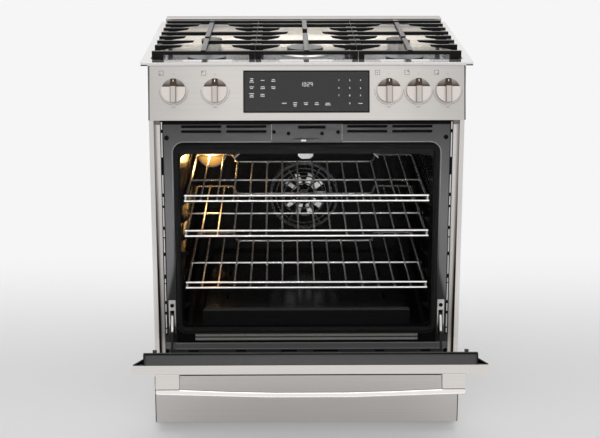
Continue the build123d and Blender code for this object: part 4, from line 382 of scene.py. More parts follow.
def cast(net):
    pits = grain(net, 900.0, 4.0)
    cloud = grain(net, 30.0, 2.0)
    return look(
        cloud.blend((0.55, 0.54, 0.53), (0.68, 0.67, 0.65)),
        0.28 + 0.15 * pits,
        pits.bump(0.00006, 0.5),
    )


def heated(net):
    tint = grain(net, 14.0, 3.0)
    tube = net.node(
        "ValToRGB",
        {"stops": [(0.3, (0.16, 0.14, 0.13)), (0.55, (0.26, 0.22, 0.18)), (0.75, (0.20, 0.20, 0.24))]},
        {"Fac": tint},
    )
    return look(tube, 0.35 + 0.2 * tint)


guard_wire = speckled(120.0, 3.0, grey(0.10), grey(0.22), (0.2, 0.15))
aluminised = speckled(50.0, 4.0, (0.36, 0.35, 0.34), (0.56, 0.55, 0.53), (0.24, 0.16))
turned = speckled(700.0, 2.0, (0.55, 0.40, 0.15), (0.70, 0.54, 0.24), (0.22, 0.12))

METAL = {"Metallic": 1.0}
finishes = {
    "stainless": finish("brushed_stainless", brushed, METAL),
    "knob_metal": finish("satin_knob_metal_painted_shade", satin, METAL),
    "wire_chrome": finish("chromed_wire", plated, {"Metallic": 0.75}),
    "galvanised": finish("zinc_plated_steel", zinc, METAL),
    "burner_aluminium": finish("cast_aluminium", cast, METAL),
    "burner_steel": finish("heated_steel", heated, METAL),
    "stem_brass": finish("turned_brass", turned, METAL),
}
own_finish = {
    "cooktop": finish("pan_steel_painted_reflection", pan_steel),
    "fan_cover": finish("fan_guard_wire", guard_wire, METAL),
    "broil_burner": finish("aluminised_steel", aluminised, METAL),
    "side_panel_left": finish("side_steel_painted_shade", rolled, METAL),
    "handle_bar": finish("polished_handle_steel", polished, METAL),
    "control_panel": finish("panel_steel", panel_steel, METAL),
    "rear_trim": finish("heat_dulled_steel", trim_steel, METAL),
}
own_finish["side_panel_right"] = own_finish["side_panel_left"]
print(len(finishes) + len(own_finish), "metals")

# %% [markdown]
# ## Enamel, iron and glass
# Porcelain enamel is glass fired onto steel: dark, smooth, with a slight orange peel and pale specks inside
# the oven. The grates are cast iron under a thin matt enamel, and their faces that look up are painted paler,
# as painted light from above. Gloss comes from the shader itself. The nodes add specks, grain and unevenness,
# and painted light and shade that belong to a place: a painted shadow darkens the frame beside the oven's
# lower corners, the frame is painted darker towards its top, and the lip below the mouth has two ribs painted
# pale as painted highlights.

# %% Enamel, iron, glass and the hidden materials
LOWER_BAND = 0.2185
FRAME_SHADOW_FOOT = (0.351, 0.315)
FRAME_SHADOW_SLOPE = 4.2
FRAME_SHADOW_TOP = 0.6
FRAME_SHADOW_SOFT = 0.018
FRAME_SHADE_FADE = (0.77, 0.56)


# Grey frame enamel with painted shade: darker towards the top of the frame, and a painted shadow beside the
# oven's mouth low down, bounded by a sloping edge.
def frame_coat(net):
    peel = grain(net, 500.0, 2.0)
    cloud = grain(net, 8.0, 2.0)
    height = here(net).axis("Z")
    lower = height.ramp(*FRAME_SHADE_FADE)
    tone = lower.blend((0.035, 0.034, 0.036), (0.118, 0.117, 0.119))
    tone = (0.2 * cloud).blend(tone, grey(0.16))
    above = height - FRAME_SHADOW_FOOT[1] - FRAME_SHADOW_SLOPE * (FRAME_SHADOW_FOOT[0] - aside(net))
    frame_shadow = above.ramp(FRAME_SHADOW_SOFT, -FRAME_SHADOW_SOFT)
    frame_shadow = frame_shadow * (height > LOWER_BAND) * (height < FRAME_SHADOW_TOP)
    return look(frame_shadow.blend(tone, (0.006, 0.0055, 0.005)), 0.3 + 0.12 * peel, peel.bump(0.00003, 0.4))


LIP_TOP = 0.2445
LIP_FOOT = 0.222
LIP_HALF = 0.279
RIBS = (0.2366, 0.2268)
RIB_HALF = 0.0027


# The lip below the mouth is lighter and has a clear coat, and its two ribs are painted pale as painted
# highlights.
def oven_coat(net):
    speck = cells(net, 260.0, "Distance") < 0.13
    peel = grain(net, 300.0, 2.0)
    height = here(net).axis("Z")
    lip = (height < LIP_TOP) * (height > LIP_FOOT) * (aside(net) < LIP_HALF)
    first, second = [abs(height - rib) < RIB_HALF for rib in RIBS]
    enamel = lip.blend((0.0025, 0.0025, 0.0027), (0.045, 0.043, 0.040))
    enamel = (lip * first.most(second)).blend(enamel, (0.30, 0.29, 0.27))
    return {
        "Base Color": speck.blend(enamel, (0.014, 0.0145, 0.016)),
        "Coat Weight": lip,
        "Roughness": 0.12 + 0.08 * peel,
        "Normal": peel.bump(0.00003, 0.4),
    }


# Black cast iron whose faces that look up are painted paler: painted light from above, not wear.
def iron(net):
    sand = grain(net, 1100.0, 5.0)
    patchy = grain(net, 25.0, 3.0)
    top = facing_up(net).ramp(0.55, 0.95)
    black = patchy.blend((0.004, 0.004, 0.0042), (0.010, 0.0095, 0.0095))
    return look(top.blend(black, (0.17, 0.166, 0.162)), 0.34 + 0.16 * sand, sand.bump(0.0001, 0.5))


# Black cap enamel whose faces that look up are painted pale: a painted reflection of the light above.
def cap_coat(net):
    sand = grain(net, 900.0, 3.0)
    top = facing_up(net).ramp(0.5, 0.95)
    pale = sand.blend((0.14, 0.138, 0.138), (0.18, 0.178, 0.177))
    return look(top.blend((0.012, 0.0115, 0.011), pale), 0.26 + 0.12 * sand, sand.bump(0.00005, 0.4))


def rope(net):
    inputs = {"Vector": place(net), "Scale": 220.0}
    strand = net.node("TexWave", {"bands_direction": "DIAGONAL"}, inputs, "Fac")
    return look(strand.blend(grey(0.004), grey(0.012)), 0.7 + 0.2 * strand, strand.bump(0.0005, 0.6))


def board(net):
    tracks = net.node("TexBrick", inputs={"Vector": place(net), "Scale": 160.0}, out="Fac")
    return look(tracks.blend((0.02, 0.12, 0.05), (0.05, 0.22, 0.09)), 0.4 + 0.1 * tracks)


dark_pane = speckled(9.0, 2.0, (0.008, 0.0074, 0.0082), (0.011, 0.0104, 0.0112), (0.05, 0.06))
clear_pane = speckled(9.0, 2.0, (0.10, 0.105, 0.11), (0.15, 0.155, 0.16), (0.02, 0.03))
fibre = speckled(120.0, 6.0, (0.55, 0.47, 0.28), (0.80, 0.74, 0.56), (0.85, 0.1), (0.002, 0.7))
moulded = speckled(1600.0, 2.0, grey(0.012), grey(0.024), (0.5, 0.2), (0.00005, 0.5))
ceramic = speckled(300.0, 2.0, (0.74, 0.72, 0.68), (0.84, 0.83, 0.80), (0.35, 0.15))
finishes.update({
    "frame_enamel": finish("grey_frame_enamel", frame_coat),
    "oven_enamel": finish("black_oven_enamel", oven_coat, {"Specular IOR Level": 0.2}),
    "grate_iron": finish("enamelled_cast_iron", iron, {"Specular IOR Level": 0.08}),
    "cap_enamel": finish("black_cap_enamel", cap_coat),
    "black_glass": finish("black_display_glass", dark_pane),
    "clear_glass": finish("clear_oven_glass", clear_pane, {"Transmission Weight": 0.5, "IOR": 1.47}),
    "seal": finish("woven_door_seal", rope, {"Specular IOR Level": 0.1}),
    "insulation": finish("mineral_fibre", fibre),
    "board": finish("circuit_board", board),
    "foot_plastic": finish("moulded_foot_plastic", moulded),
    "igniter_ceramic": finish("white_ceramic", ceramic),
})


def liner_coat(net):
    peel = grain(net, 500.0, 2.0)
    dust = cells(net, 120.0, "Distance") < 0.06
    return look(dust.blend((0.030, 0.0297, 0.0305), grey(0.14)), 0.34 + 0.12 * peel, peel.bump(0.00003, 0.4))


bright_plate = speckled(70.0, 3.0, (0.58, 0.57, 0.55), (0.78, 0.77, 0.75), (0.28, 0.12))
# The black of the painted shade on the hinge plates and arms.
PAINTED_SHADE_BLACK = (0.006, 0.0055, 0.005)
HINGE_X = 0.335
HINGE_SLOT = (0.0054, 0.303)
PLATE_HALF = 0.010
PLATE_FOOT = (0.272, 0.258)


def receiver_plate(net):
    """Bright plate with painted shade: black in the slot round the arm and dark at its foot."""
    height = here(net).axis("Z")
    beside = abs(aside(net) - HINGE_X)
    slot = (beside < HINGE_SLOT[0]) * (height < HINGE_SLOT[1])
    foot = 0.85 * height.ramp(*PLATE_FOOT)
    hidden = slot.most(foot) * (beside < PLATE_HALF)
    return shaded(bright_plate(net), hidden, PAINTED_SHADE_BLACK)


ARM_SHADE_LEVELS = (0.255, 0.252)


def arm_plate(net):
    """Bright plate above, painted shade below."""
    arm_shade = here(net).axis("Z").ramp(*ARM_SHADE_LEVELS)
    return shaded(bright_plate(net), arm_shade, PAINTED_SHADE_BLACK)


TONGUE = (-0.0145, -0.001)
TONGUE_FRONT = -0.3235


def latch_steel(net):
    """Dark steel with a bright worn tongue."""
    wear = grain(net, 200.0, 3.0)
    x = here(net).axis("X")
    tongue = (x > TONGUE[0]) * (x < TONGUE[1]) * (here(net).axis("Y") < TONGUE_FRONT)
    dark = wear.blend(grey(0.010), grey(0.030))
    return look(tongue.blend(dark, (0.80, 0.79, 0.78)), 0.3 + 0.1 * wear)


own_finish.update({
    "door_liner": finish("dark_door_enamel", liner_coat),
    "oven_floor": finish("glossy_floor_enamel", oven_coat, {"Specular IOR Level": 0.3}),
    "hinge_receivers": finish("bright_hinge_plate", receiver_plate, {"Metallic": 0.6}),
    "hinge_arms": finish("hinge_arm_painted_shade", arm_plate, {"Metallic": 0.6}),
    "door_latch": finish("dark_latch_steel", latch_steel, {"Metallic": 0.4}),
})

black_speckle = speckled(700.0, 3.0, grey(0.001), grey(0.004), (0.6, 0.2))
RING_SHADE_FADE = (0.62, 0.42)


def highlight_coat(net):
    """Pale as a painted highlight, with painted shade round the oven's lower corners."""
    peel = grain(net, 600.0, 2.0)
    height = here(net).axis("Z")
    patchy = peel.blend(grey(0.20), (0.27, 0.27, 0.268))
    dark = height.ramp(*RING_SHADE_FADE) * (height > LOWER_BAND)
    return look(dark.blend(patchy, grey(0.012)), 0.3 + 0.1 * peel)


# Matt black for black parts, and for the strips, films and discs of painted shade in gaps, slots and holes.
deep_black = finish("matt_black_and_painted_shade", black_speckle, {"Specular IOR Level": 0.1})
edge_highlight = finish("edge_painted_highlight", highlight_coat)


def dress(piece, material):
    """Gives a whole piece one material."""
    piece.data.materials.clear()
    piece.data.materials.append(material)


def finish_of(node):
    """A node's own finish, or that of its slot."""
    return own_finish.get(node) or finishes[slot_of[node]]


for name, node in nodes.items():
    dress(node, finish_of(name))
print(len(finishes), "finishes on", len(nodes), "nodes")

# %% [markdown]
# ## Edges that catch the light
# A solid model's edges are perfectly sharp, and sheet metal never is. A copy of the node's mesh is welded
# back together, its flat triangles are merged, and a bevel as wide as the real fold or casting radius goes
# round every sharp edge. The copy then stands for the node, which stays behind it for collision, hidden.

# %% Softened copies of the nodes
WELD = 0.00002
FLAT_UNDER = 1.0
SMOOTH_UNDER = 40
SHARP_OVER = 32


def deselect():
    bpy.ops.object.select_all(action="DESELECT")


def only(piece):
    """Leaves one piece selected and active."""
    deselect()
    piece.select_set(True)
    bpy.context.view_layer.objects.active = piece


def done():
    bpy.ops.object.mode_set(mode="OBJECT")


def edit_all():
    bpy.ops.object.mode_set(mode="EDIT")
    bpy.ops.mesh.select_all(action="SELECT")


def rounded(piece, radius, segments=2):
    """Rounds a piece's sharp edges."""
    only(piece)
    bpy.ops.object.shade_smooth_by_angle(angle=radians(SMOOTH_UNDER))
    edge = piece.modifiers.new("edge", "BEVEL")
    edge.width = radius
    edge.segments = segments
    edge.limit_method = "ANGLE"
    edge.angle_limit = radians(SHARP_OVER)
    edge.harden_normals = True
    bpy.ops.object.modifier_apply(modifier="edge")


def softened(node, radius, segments=2):
    """A copy of a node with rounded edges, which replaces it."""
    piece = bpy.data.objects.new(f"{node}_formed", nodes[node].data.copy())
    scene.collection.objects.link(piece)
    only(piece)
    bpy.ops.mesh.customdata_custom_splitnormals_clear()
    edit_all()
    bpy.ops.mesh.remove_doubles(threshold=WELD)
    bpy.ops.mesh.dissolve_limited(angle_limit=radians(FLAT_UNDER))
    done()
    rounded(piece, radius, segments)
    dress(piece, finish_of(node))
    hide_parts(node)
    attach(piece, body_of[node])
    return piece


SOFT_EDGES = {
    "control_panel": 0.0012, "display_glass": 0.0008, "cooktop": 0.002, "rear_trim": 0.0012,
    "side_panel_left": 0.0006, "side_panel_right": 0.0006, "front_frame": 0.0016, "latch_plate": 0.0008,
    "door_skin": 0.0014, "door_liner": 0.0006, "handle_bar": 0.004, "handle_brackets": 0.0015,
    "drawer_front": 0.0012, "burner_caps": 0.001, "burner_heads": 0.0006, "hinge_receivers": 0.0004,
    "oven_floor": 0.0007, "door_gasket": 0.003, "hinge_arms": 0.0008,
    **{f"grate_{side}": 0.0022 for side in ("left", "centre", "right")},
    **{f"knob_{number}": 0.0012 for number in range(1, 6)},
}
formed = {node: softened(node, radius) for node, radius in SOFT_EDGES.items()}
print(len(formed), "softened copies")

# %% [markdown]
# ## A bench for new pieces
# Every added piece starts as a primitive and is shaped in edit mode. The helpers below keep that safe: only
# the new piece is selected, faces are picked by a test on their place or normal, and repeated shapes are
# copied with a mesh of their own. Each face of the range gets a matrix with X across, Y up and Z out of it,
# so a flat drawing can be laid on the leaning panel or the open door.

# %% Helpers for new pieces
ACROSS = Vector((1.0, 0.0, 0.0))
UP = Vector((0.0, 0.0, 1.0))
SIDES = (-1, 1)


def begin(kind, name, **size):
    """Adds one primitive, alone in the selection."""
    deselect()
    getattr(bpy.ops.mesh, f"primitive_{kind}_add")(**size)
    piece = bpy.context.object
    piece.name = name
    return piece


def disc(name, vertices, radius, depth):
    """A cylinder that stands on its own zero level."""
    piece = begin("cylinder", name, vertices=vertices, radius=radius, depth=depth)
    piece.data.transform(move(0, 0, depth / 2))
    return piece


def pick(piece, test):
    """Opens edit mode with only the faces selected that pass a test."""
    bpy.ops.object.mode_set(mode="EDIT")
    bpy.ops.mesh.select_mode(type="FACE")
    bpy.ops.mesh.select_all(action="DESELECT")
    done()
    for face in piece.data.polygons:
        face.select = test(face)
    bpy.ops.object.mode_set(mode="EDIT")


def push(x, y, z):
    """Extrudes the selected faces."""
    bpy.ops.mesh.extrude_region_move(TRANSFORM_OT_translate={"value": (x, y, z)})


def thicken(piece, height):
    """Extrudes a flat piece along Z."""
    pick(piece, lambda face: True)
    push(0.0, 0.0, height)
    done()


def face_out():
    """Turns all faces of the active piece outwards."""
    edit_all()
    bpy.ops.mesh.normals_make_consistent(inside=False)
    done()


def hollow_out(piece, border):
    """Leaves only a border of a flat piece."""
    pick(piece, lambda face: True)
    bpy.ops.mesh.inset(thickness=border)
    bpy.ops.mesh.delete(type="FACE")


def crown(piece, border, lift):
    """Insets the top and lifts it."""
    pick(piece, lambda face: face.normal.z > 0.9)
    bpy.ops.mesh.inset(thickness=border)
    bpy.ops.transform.translate(value=(0, 0, lift))
    done()


def twin(piece, matrix, *size):
    """A copy with its own mesh, stretched to a size and moved by a matrix."""
    copy = bpy.data.objects.new(piece.name, piece.data.copy())
    copy.data.transform(matrix @ stretch(*size) if size else matrix)
    scene.collection.objects.link(copy)
    return copy


def drop(*pieces):
    for piece in pieces:
        bpy.data.objects.remove(piece, do_unlink=True)


def together(name, pieces, material, body="range"):
    """Joins pieces into one, which rides on a body."""
    deselect()
    for piece in pieces:
        piece.select_set(True)
    bpy.context.view_layer.objects.active = pieces[0]
    if len(pieces) > 1:
        bpy.ops.object.join()
    whole = bpy.context.view_layer.objects.active
    whole.name = name
    dress(whole, material)
    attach(whole, body)
    print(name, len(whole.data.polygons), "faces on", body)


def face_frame(origin, across=ACROSS, up=UP):
    """A matrix whose X, Y and Z run across, up and out of a face."""
    axes = Matrix((across, up, across.cross(up))).transposed().to_4x4()
    return Matrix.Translation(origin) @ axes


def on_frame(x, z, behind=0.0):
    """A place on the oven's front frame."""
    return face_frame((x, frame_front + behind, z))


def move(x, y, z=0.0):
    return Matrix.Translation((x, y, z))


def stretch(x, y, z=1.0):
    return Matrix.Diagonal((x, y, z, 1.0))


def turn(degrees, axis="Z"):
    return Matrix.Rotation(radians(degrees), 4, axis)


frame_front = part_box("front_frame")[0].y
panel = face_frame(panel_middle, up=panel_up)

# %% [markdown]
# ## Marks printed round the knobs
# Each knob has an arc below it that shows the range of the flame, a dash at the highest and at the lowest
# setting, a dot at each side and a little square that tells which burner it works. Ink is only a film, but
# as geometry it stays sharp at any distance: an edge ring is scaled inwards to make a band, the faces
# outside the arc are deleted, and the band is raised by a tenth of a millimetre.

# %% Ink on the panel
INK = 0.0001
DIAL_RISE = 0.001
ARC_RADIUS = 0.0345
ARC_WIDTH = 0.0008
ARC_TOP = -0.003
ARC_GAP = 0.005
ink_colour = speckled(2000.0, 2.0, (0.14, 0.13, 0.12), (0.22, 0.21, 0.20), (0.5, 0.1))
ink = finish("printed_grey_ink", ink_colour)

bar = begin("plane", "ink_bar", size=1.0)
thicken(bar, INK)

arc = begin("circle", "dial_arc", vertices=96, radius=ARC_RADIUS, fill_type="NOTHING")
edit_all()
bpy.ops.mesh.extrude_edges_move()
narrow = (ARC_RADIUS - ARC_WIDTH) / ARC_RADIUS
bpy.ops.transform.resize(value=(narrow, narrow, 1.0), center_override=(0.0, 0.0, 0.0))
pick(arc, lambda face: face.center.y > ARC_TOP or abs(face.center.x) < ARC_GAP)
bpy.ops.mesh.delete(type="FACE")
face_out()
thicken(arc, INK)

ICON_SIZE = 0.0115
ICON_LINE = 0.0011
icon = begin("plane", "burner_icon", size=ICON_SIZE)
hollow_out(icon, ICON_LINE)
thicken(icon, INK)

DASHES = ((-0.040, 0.0085, 0.0011), (0.0385, 0.004, 0.0009))
DOT = 0.0016
SPOT = 0.003
SPOT_ASIDE = ICON_SIZE * 0.24
ICON_PLACES = ((-0.0295, 0.041), (-0.027, 0.041), (-0.027, 0.042), (-0.027, 0.042), (-0.027, 0.042))
BURNER_CORNERS = ((-1, -1), (-1, 1), (0, 0), (1, 1), (1, -1))
marks = []
for x, icon_place, (corner_x, corner_y) in zip(KNOB_PLACES, ICON_PLACES, BURNER_CORNERS):
    dial = panel @ move(x, KNOB_RISE + DIAL_RISE)
    square = dial @ move(*icon_place)
    marks += [twin(arc, dial), twin(icon, square)]
    marks += [twin(bar, dial @ move(0, y), *size) for y, *size in DASHES]
    marks += [twin(bar, dial @ move(side * ARC_RADIUS, 0), DOT, DOT) for side in SIDES]
    marks.append(twin(bar, square @ move(corner_x * SPOT_ASIDE, corner_y * SPOT_ASIDE), SPOT, SPOT))
together("dial_marks", marks, ink)
drop(arc, icon)

# %% [markdown]
# ## The display's legends
# The dark glass shows short legends, a number pad and a clock. The legends are rows of small bars in the
# rhythm of words, the numbers are text made into a mesh, and each figure of the clock is built from one bar:
# a plane whose ends are drawn to a point, copied to those of the seven places that are lit. The places are
# lettered as usual, a to f clockwise from the top and g in the middle. A black border runs round the glass.

# %% Legends, number pad, clock and border
# The clock glows as a lit display; the printed legends and numbers glow as well, which is painted light.
def legend_glow_colour(net):
    flicker = grain(net, 900.0, 2.0)
    glow = flicker.blend((0.60, 0.61, 0.62), (0.72, 0.73, 0.74))
    return {"Base Color": grey(0.5), "Emission Color": glow, "Roughness": 0.3 + 0.1 * flicker}


legend_glow = finish("legend_glow_painted_light", legend_glow_colour, {"Emission Strength": 1.0})
glass_low, glass_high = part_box("display_glass")
GLASS_PROUD = 0.001
display = panel @ move((glass_low.x + glass_high.x) / 2, 0.0, GLASS_PROUD)
LETTER = (0.0011, 0.0014)
LETTER_STEP = 0.0017
LINE_STEP = 0.0039
LEGENDS = (
    (-0.1298, 0.0266, (5, 4, 6)), (-0.1041, 0.0266, (5,)), (-0.0784, 0.0266, (4, 6)),
    (-0.1298, 0.0092, (6, 4)), (-0.1041, 0.0092, (5, 6)), (-0.0784, 0.0092, (6, 5)),
    (-0.1298, -0.0087, (7, 5, 6)), (-0.1041, -0.0087, (5, 6)),
    (-0.0527, -0.0276, (7,)), (-0.0270, -0.0303, (6, 5, 4)), (-0.0013, -0.0287, (6, 5)),
    (0.0244, -0.0287, (5, 6)), (0.0506, -0.0297, (6, 8)), (0.1282, -0.0282, (6,)),
)
legends = []
for x, y, lines in LEGENDS:
    for row, letters in enumerate(lines):
        line_y = y + ((len(lines) - 1) / 2 - row) * LINE_STEP
        for letter in range(letters):
            letter_x = x + (letter - (letters - 1) / 2) * LETTER_STEP
            legends.append(twin(bar, display @ move(letter_x, line_y), *LETTER))

PAD_X = (0.0768, 0.1025, 0.1282)
PAD_Y = (0.0266, 0.0082, -0.0097, -0.0282)
NUMBER_SIZE = 0.0055
numbers = [(str(3 * row + column + 1), PAD_X[column], PAD_Y[row]) for row in range(3) for column in range(3)]
for number, x, y in numbers + [("0", PAD_X[1], PAD_Y[3])]:
    deselect()
    bpy.ops.object.text_add()
    text = bpy.context.object.data
    text.body = number
    text.size = NUMBER_SIZE
    text.align_x = text.align_y = "CENTER"
    text.extrude = INK / 2
    text.resolution_u = 3
    bpy.ops.object.convert(target="MESH")
    bpy.context.object.data.transform(display @ move(x, y, INK / 2))
    legends.append(bpy.context.object)

SEGMENT = (0.0042, 0.0007)
SEGMENT_POINT = SEGMENT[1] * 0.45
segment = begin("plane", "clock_segment", size=1.0)
segment.data.transform(stretch(*SEGMENT))
edit_all()
bpy.ops.mesh.bevel(offset=SEGMENT_POINT, affect="VERTICES")
thicken(segment, INK)
HALF = 0.0022
WIDE = 0.0020
SEGMENT_PLACES = {
    "a": (0.0, 2 * HALF, 0), "b": (WIDE, HALF, 90), "c": (WIDE, -HALF, 90), "d": (0.0, -2 * HALF, 0),
    "e": (-WIDE, -HALF, 90), "f": (-WIDE, HALF, 90), "g": (0.0, 0.0, 0),
}
FIGURES = {"0": "abcdef", "1": "bc", "2": "abdeg", "9": "abcfg"}
CLOCK = (("1", -0.0112), ("0", -0.0036), ("2", 0.0046), ("9", 0.0120))
CLOCK_Y = 0.0171
COLON = (0.0005, 0.002, 0.0009)
for figure, x in CLOCK:
    for name in FIGURES[figure]:
        segment_x, segment_y, angle = SEGMENT_PLACES[name]
        length = 1.0 if angle else WIDE / HALF
        lit_place = display @ move(x + segment_x, CLOCK_Y + segment_y) @ turn(angle)
        legends.append(twin(segment, lit_place, length, 1.0))
for side in SIDES:
    legends.append(twin(bar, display @ move(COLON[0], CLOCK_Y + side * COLON[1]), COLON[2], COLON[2]))
together("display_legends", legends, legend_glow)
drop(segment)

GLASS_EDGE = 0.0022
glass_wide = glass_high.x - glass_low.x
glass_tall = (glass_high.z - glass_low.z) / panel_up.z - GLASS_EDGE
glass_up = ((glass_low + glass_high) / 2 - panel_middle).dot(panel_up)
borders = []
for side in SIDES:
    upright = display @ move(side * (glass_wide - GLASS_EDGE) / 2, glass_up)
    borders.append(twin(bar, upright, GLASS_EDGE, glass_tall - 2 * GLASS_EDGE))
    across = display @ move(0.0, glass_up + side * (glass_tall - GLASS_EDGE) / 2)
    borders.append(twin(bar, across, glass_wide, GLASS_EDGE))
together("display_border", borders, deep_black)

# %% [markdown]
# ## Pointers on the knobs
# A pale line on the slope of each grip shows where the knob is set. It has to turn with the knob, so it rides
# on the dial and not on the panel.

# %% Pointer lines
GRIP_SLOPE = 35.7
POINTER_UP = 0.0228
POINTER_OUT = 0.01917
POINTER = (0.0016, 0.007, 2.0)
pale_colour = speckled(1500.0, 2.0, (0.62, 0.58, 0.54), (0.80, 0.76, 0.72), (0.4, 0.1))
pale_ink = finish("pale_pointer_ink", pale_colour)
for number, x in enumerate(KNOB_PLACES, start=1):
    slope = panel @ move(x, KNOB_RISE + POINTER_UP, POINTER_OUT) @ turn(-GRIP_SLOPE, "X")
    together(f"knob_{number}_pointer", [twin(bar, slope, *POINTER)], pale_ink, f"dial_{number}")
drop(bar)

# %% [markdown]
# ## Screws, plugs and seams of the front frame
# Four dark screws hold the latch plate, a rubber plug sits in each upper corner, a flat dark disc in each
# hinge plate is painted shade in its hole, and the seam between the frame and the side strips shows as a row
# of bright tabs. A screw head is a disc whose top is inset and lifted into a dome, with a cross cut into it
# by a boolean.

# %% Screws, plugs, painted shade in the hinge holes, and seam tabs
plate_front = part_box("latch_plate")[0].y
receiver_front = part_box("hinge_receivers")[0].y
SCREW = (0.0045, 0.0012)
SCREW_DOME = (0.0012, 0.0005)
screw = disc("screw", 24, *SCREW)
crown(screw, *SCREW_DOME)
CROSS = (0.0055, 0.0011, 0.0022)
CROSS_LEVEL = 0.0018
slot_cut = begin("cube", "cross_cut", size=1.0)
slot_cut.data.transform(move(0, 0, CROSS_LEVEL) @ stretch(*CROSS))
for cutter in (slot_cut, twin(slot_cut, turn(90))):
    only(screw)
    cut = screw.modifiers.new("cut", "BOOLEAN")
    cut.object = cutter
    bpy.ops.object.modifier_apply(modifier="cut")
    drop(cutter)
rounded(screw, 0.0002, 1)
TWIST = 20
SCREWS = ((-0.0792, 0.7579), (-0.0442, 0.7541), (0.0367, 0.7539), (0.0754, 0.7575))
screws = [twin(screw, face_frame((x, plate_front, z)) @ turn(TWIST * n)) for n, (x, z) in enumerate(SCREWS)]
together("latch_plate_screws", screws, deep_black)
drop(screw)

PLUG = (0.0056, 0.003)
PLUG_DISH = (0.0026, -0.0012)
plug = disc("plug", 32, *PLUG)
crown(plug, *PLUG_DISH)
rounded(plug, 0.0006)
PLUGS = ((-0.3388, 0.7436), (0.3369, 0.7445))
plugs = [twin(plug, on_frame(x, z)) for x, z in PLUGS]
together("frame_plugs", plugs, deep_black)

# A flat dark disc in each hinge plate is painted shade in its hole.
HOLE_SHADE_Z = 0.316
HOLE_SHADE = (0.9, 0.9, 0.15)
hole_shades = [twin(plug, face_frame((side * HINGE_X, receiver_front, HOLE_SHADE_Z)), *HOLE_SHADE) for side in SIDES]
together("receiver_hole_shade", hole_shades, deep_black)

SEAM_X = 0.3505
TAB = (0.0032, 0.020, 0.0012)
TAB_SPANS = (
    (0.243, 0.2545), (0.258, 0.2925), (0.300, 0.320), (0.328, 0.3725), (0.375, 0.386), (0.397, 0.445),
    (0.4545, 0.4905), (0.494, 0.512), (0.521, 0.568), (0.5745, 0.596), (0.605, 0.651), (0.695, 0.756),
    (0.764, 0.783),
)
tab = begin("cube", "seam_tab", size=1.0)
tab.data.transform(move(0, 0, TAB[2] / 2) @ stretch(*TAB))
rounded(tab, 0.0005)
tabs = []
for side in SIDES:
    for low, high in TAB_SPANS:
        seam = on_frame(side * SEAM_X, (low + high) / 2)
        tabs.append(twin(tab, seam, 1.0, (high - low) / TAB[1]))
together("column_seam_tabs", tabs, own_finish["hinge_receivers"])
drop(tab)

# %% [markdown]
# ## Trim on the open door
# Along each side of the door a thin strip slopes from the inner panel down to the edge of the steel skin,
# black with painted shade, and a bumper sits in each upper corner. They ride on the door, so they are drawn
# on the door's own frame: Y runs up from the hinge along the door and Z out through its front.

# %% Door side strips and bumpers
hinge = next(joint for joint in behaviour["joints"] if joint["name"] == "door_hinge")
door_open = radians(-hinge["range_deg"][0])
door_up = Vector((0.0, -sin(door_open), cos(door_open)))
door = face_frame(Vector(hinge["pos_m"]), up=door_up)
LINER_SIDE = 0.3515
SKIN_SIDE = 0.3722
SKIN_INSIDE = -0.0105
STRIP_HIGH = -0.0225
STRIP_SHEET = 0.0022
STRIP_ENDS = (0.06, 0.5985)
strip_run = SKIN_SIDE - LINER_SIDE
strip_angle = atan2(SKIN_INSIDE - STRIP_HIGH, strip_run)
strip_size = (strip_run / cos(strip_angle), STRIP_ENDS[1] - STRIP_ENDS[0])
side_strip = begin("plane", "door_side_strip", size=1.0)
side_strip.data.transform(move(0.5 * strip_size[0], 0.0) @ stretch(*strip_size))
thicken(side_strip, -STRIP_SHEET)
face_out()
rounded(side_strip, 0.0005)
right_strip = door @ move(LINER_SIDE, sum(STRIP_ENDS) / 2, STRIP_HIGH) @ Matrix.Rotation(-strip_angle, 4, "Y")
strips = [twin(side_strip, right_strip), twin(side_strip, stretch(-1.0, 1.0) @ right_strip)]
strips[1].data.flip_normals()
# The strips' black is painted shade on the door's sides.
together("door_side_strips", strips, finishes["foot_plastic"], "door")
drop(side_strip)

LINER_FACE = -0.0375
BUMPER = (0.327, 0.598)
BUMPER_SHAPE = (0.8, 0.8, 2.2)
upside_down = turn(180, "X") @ stretch(*BUMPER_SHAPE)
bumpers = [twin(plug, door @ move(side * BUMPER[0], BUMPER[1], LINER_FACE) @ upside_down) for side in SIDES]
together("door_bumpers", bumpers, finishes["foot_plastic"], "door")
drop(plug)

# %% [markdown]
# ## Inside the oven
# The broil burner's igniter hangs in a bright bracket at the front of its reflector, a thin probe for the
# oven's temperature comes out of the back wall, and the fan's blades are bright against its dark disc.

# %% Igniter bracket, probe and fan
BRACKET = (0.037, 0.0065, 0.006)
BRACKET_NOSE = 0.0075
NOSE_TAPER = (0.55, 1.0, 0.7)
BRACKET_X = -0.002
BRACKET_RISE = 0.0105
broil_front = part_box("broil_burner")[0]
bracket = begin("plane", "broil_igniter_bracket", size=1.0)
bracket.data.transform(stretch(*BRACKET[:2]))
thicken(bracket, BRACKET[2])
pick(bracket, lambda face: face.normal.y < -0.9)
push(0.0, -BRACKET_NOSE, 0.0)
bpy.ops.transform.resize(value=NOSE_TAPER, center_override=(0.0, 0.0, BRACKET[2] / 2))
done()
rounded(bracket, 0.0008)
bracket.data.transform(face_frame((BRACKET_X, broil_front.y, broil_front.z + BRACKET_RISE)))
together("broil_igniter_bracket", [bracket], own_finish["hinge_receivers"])

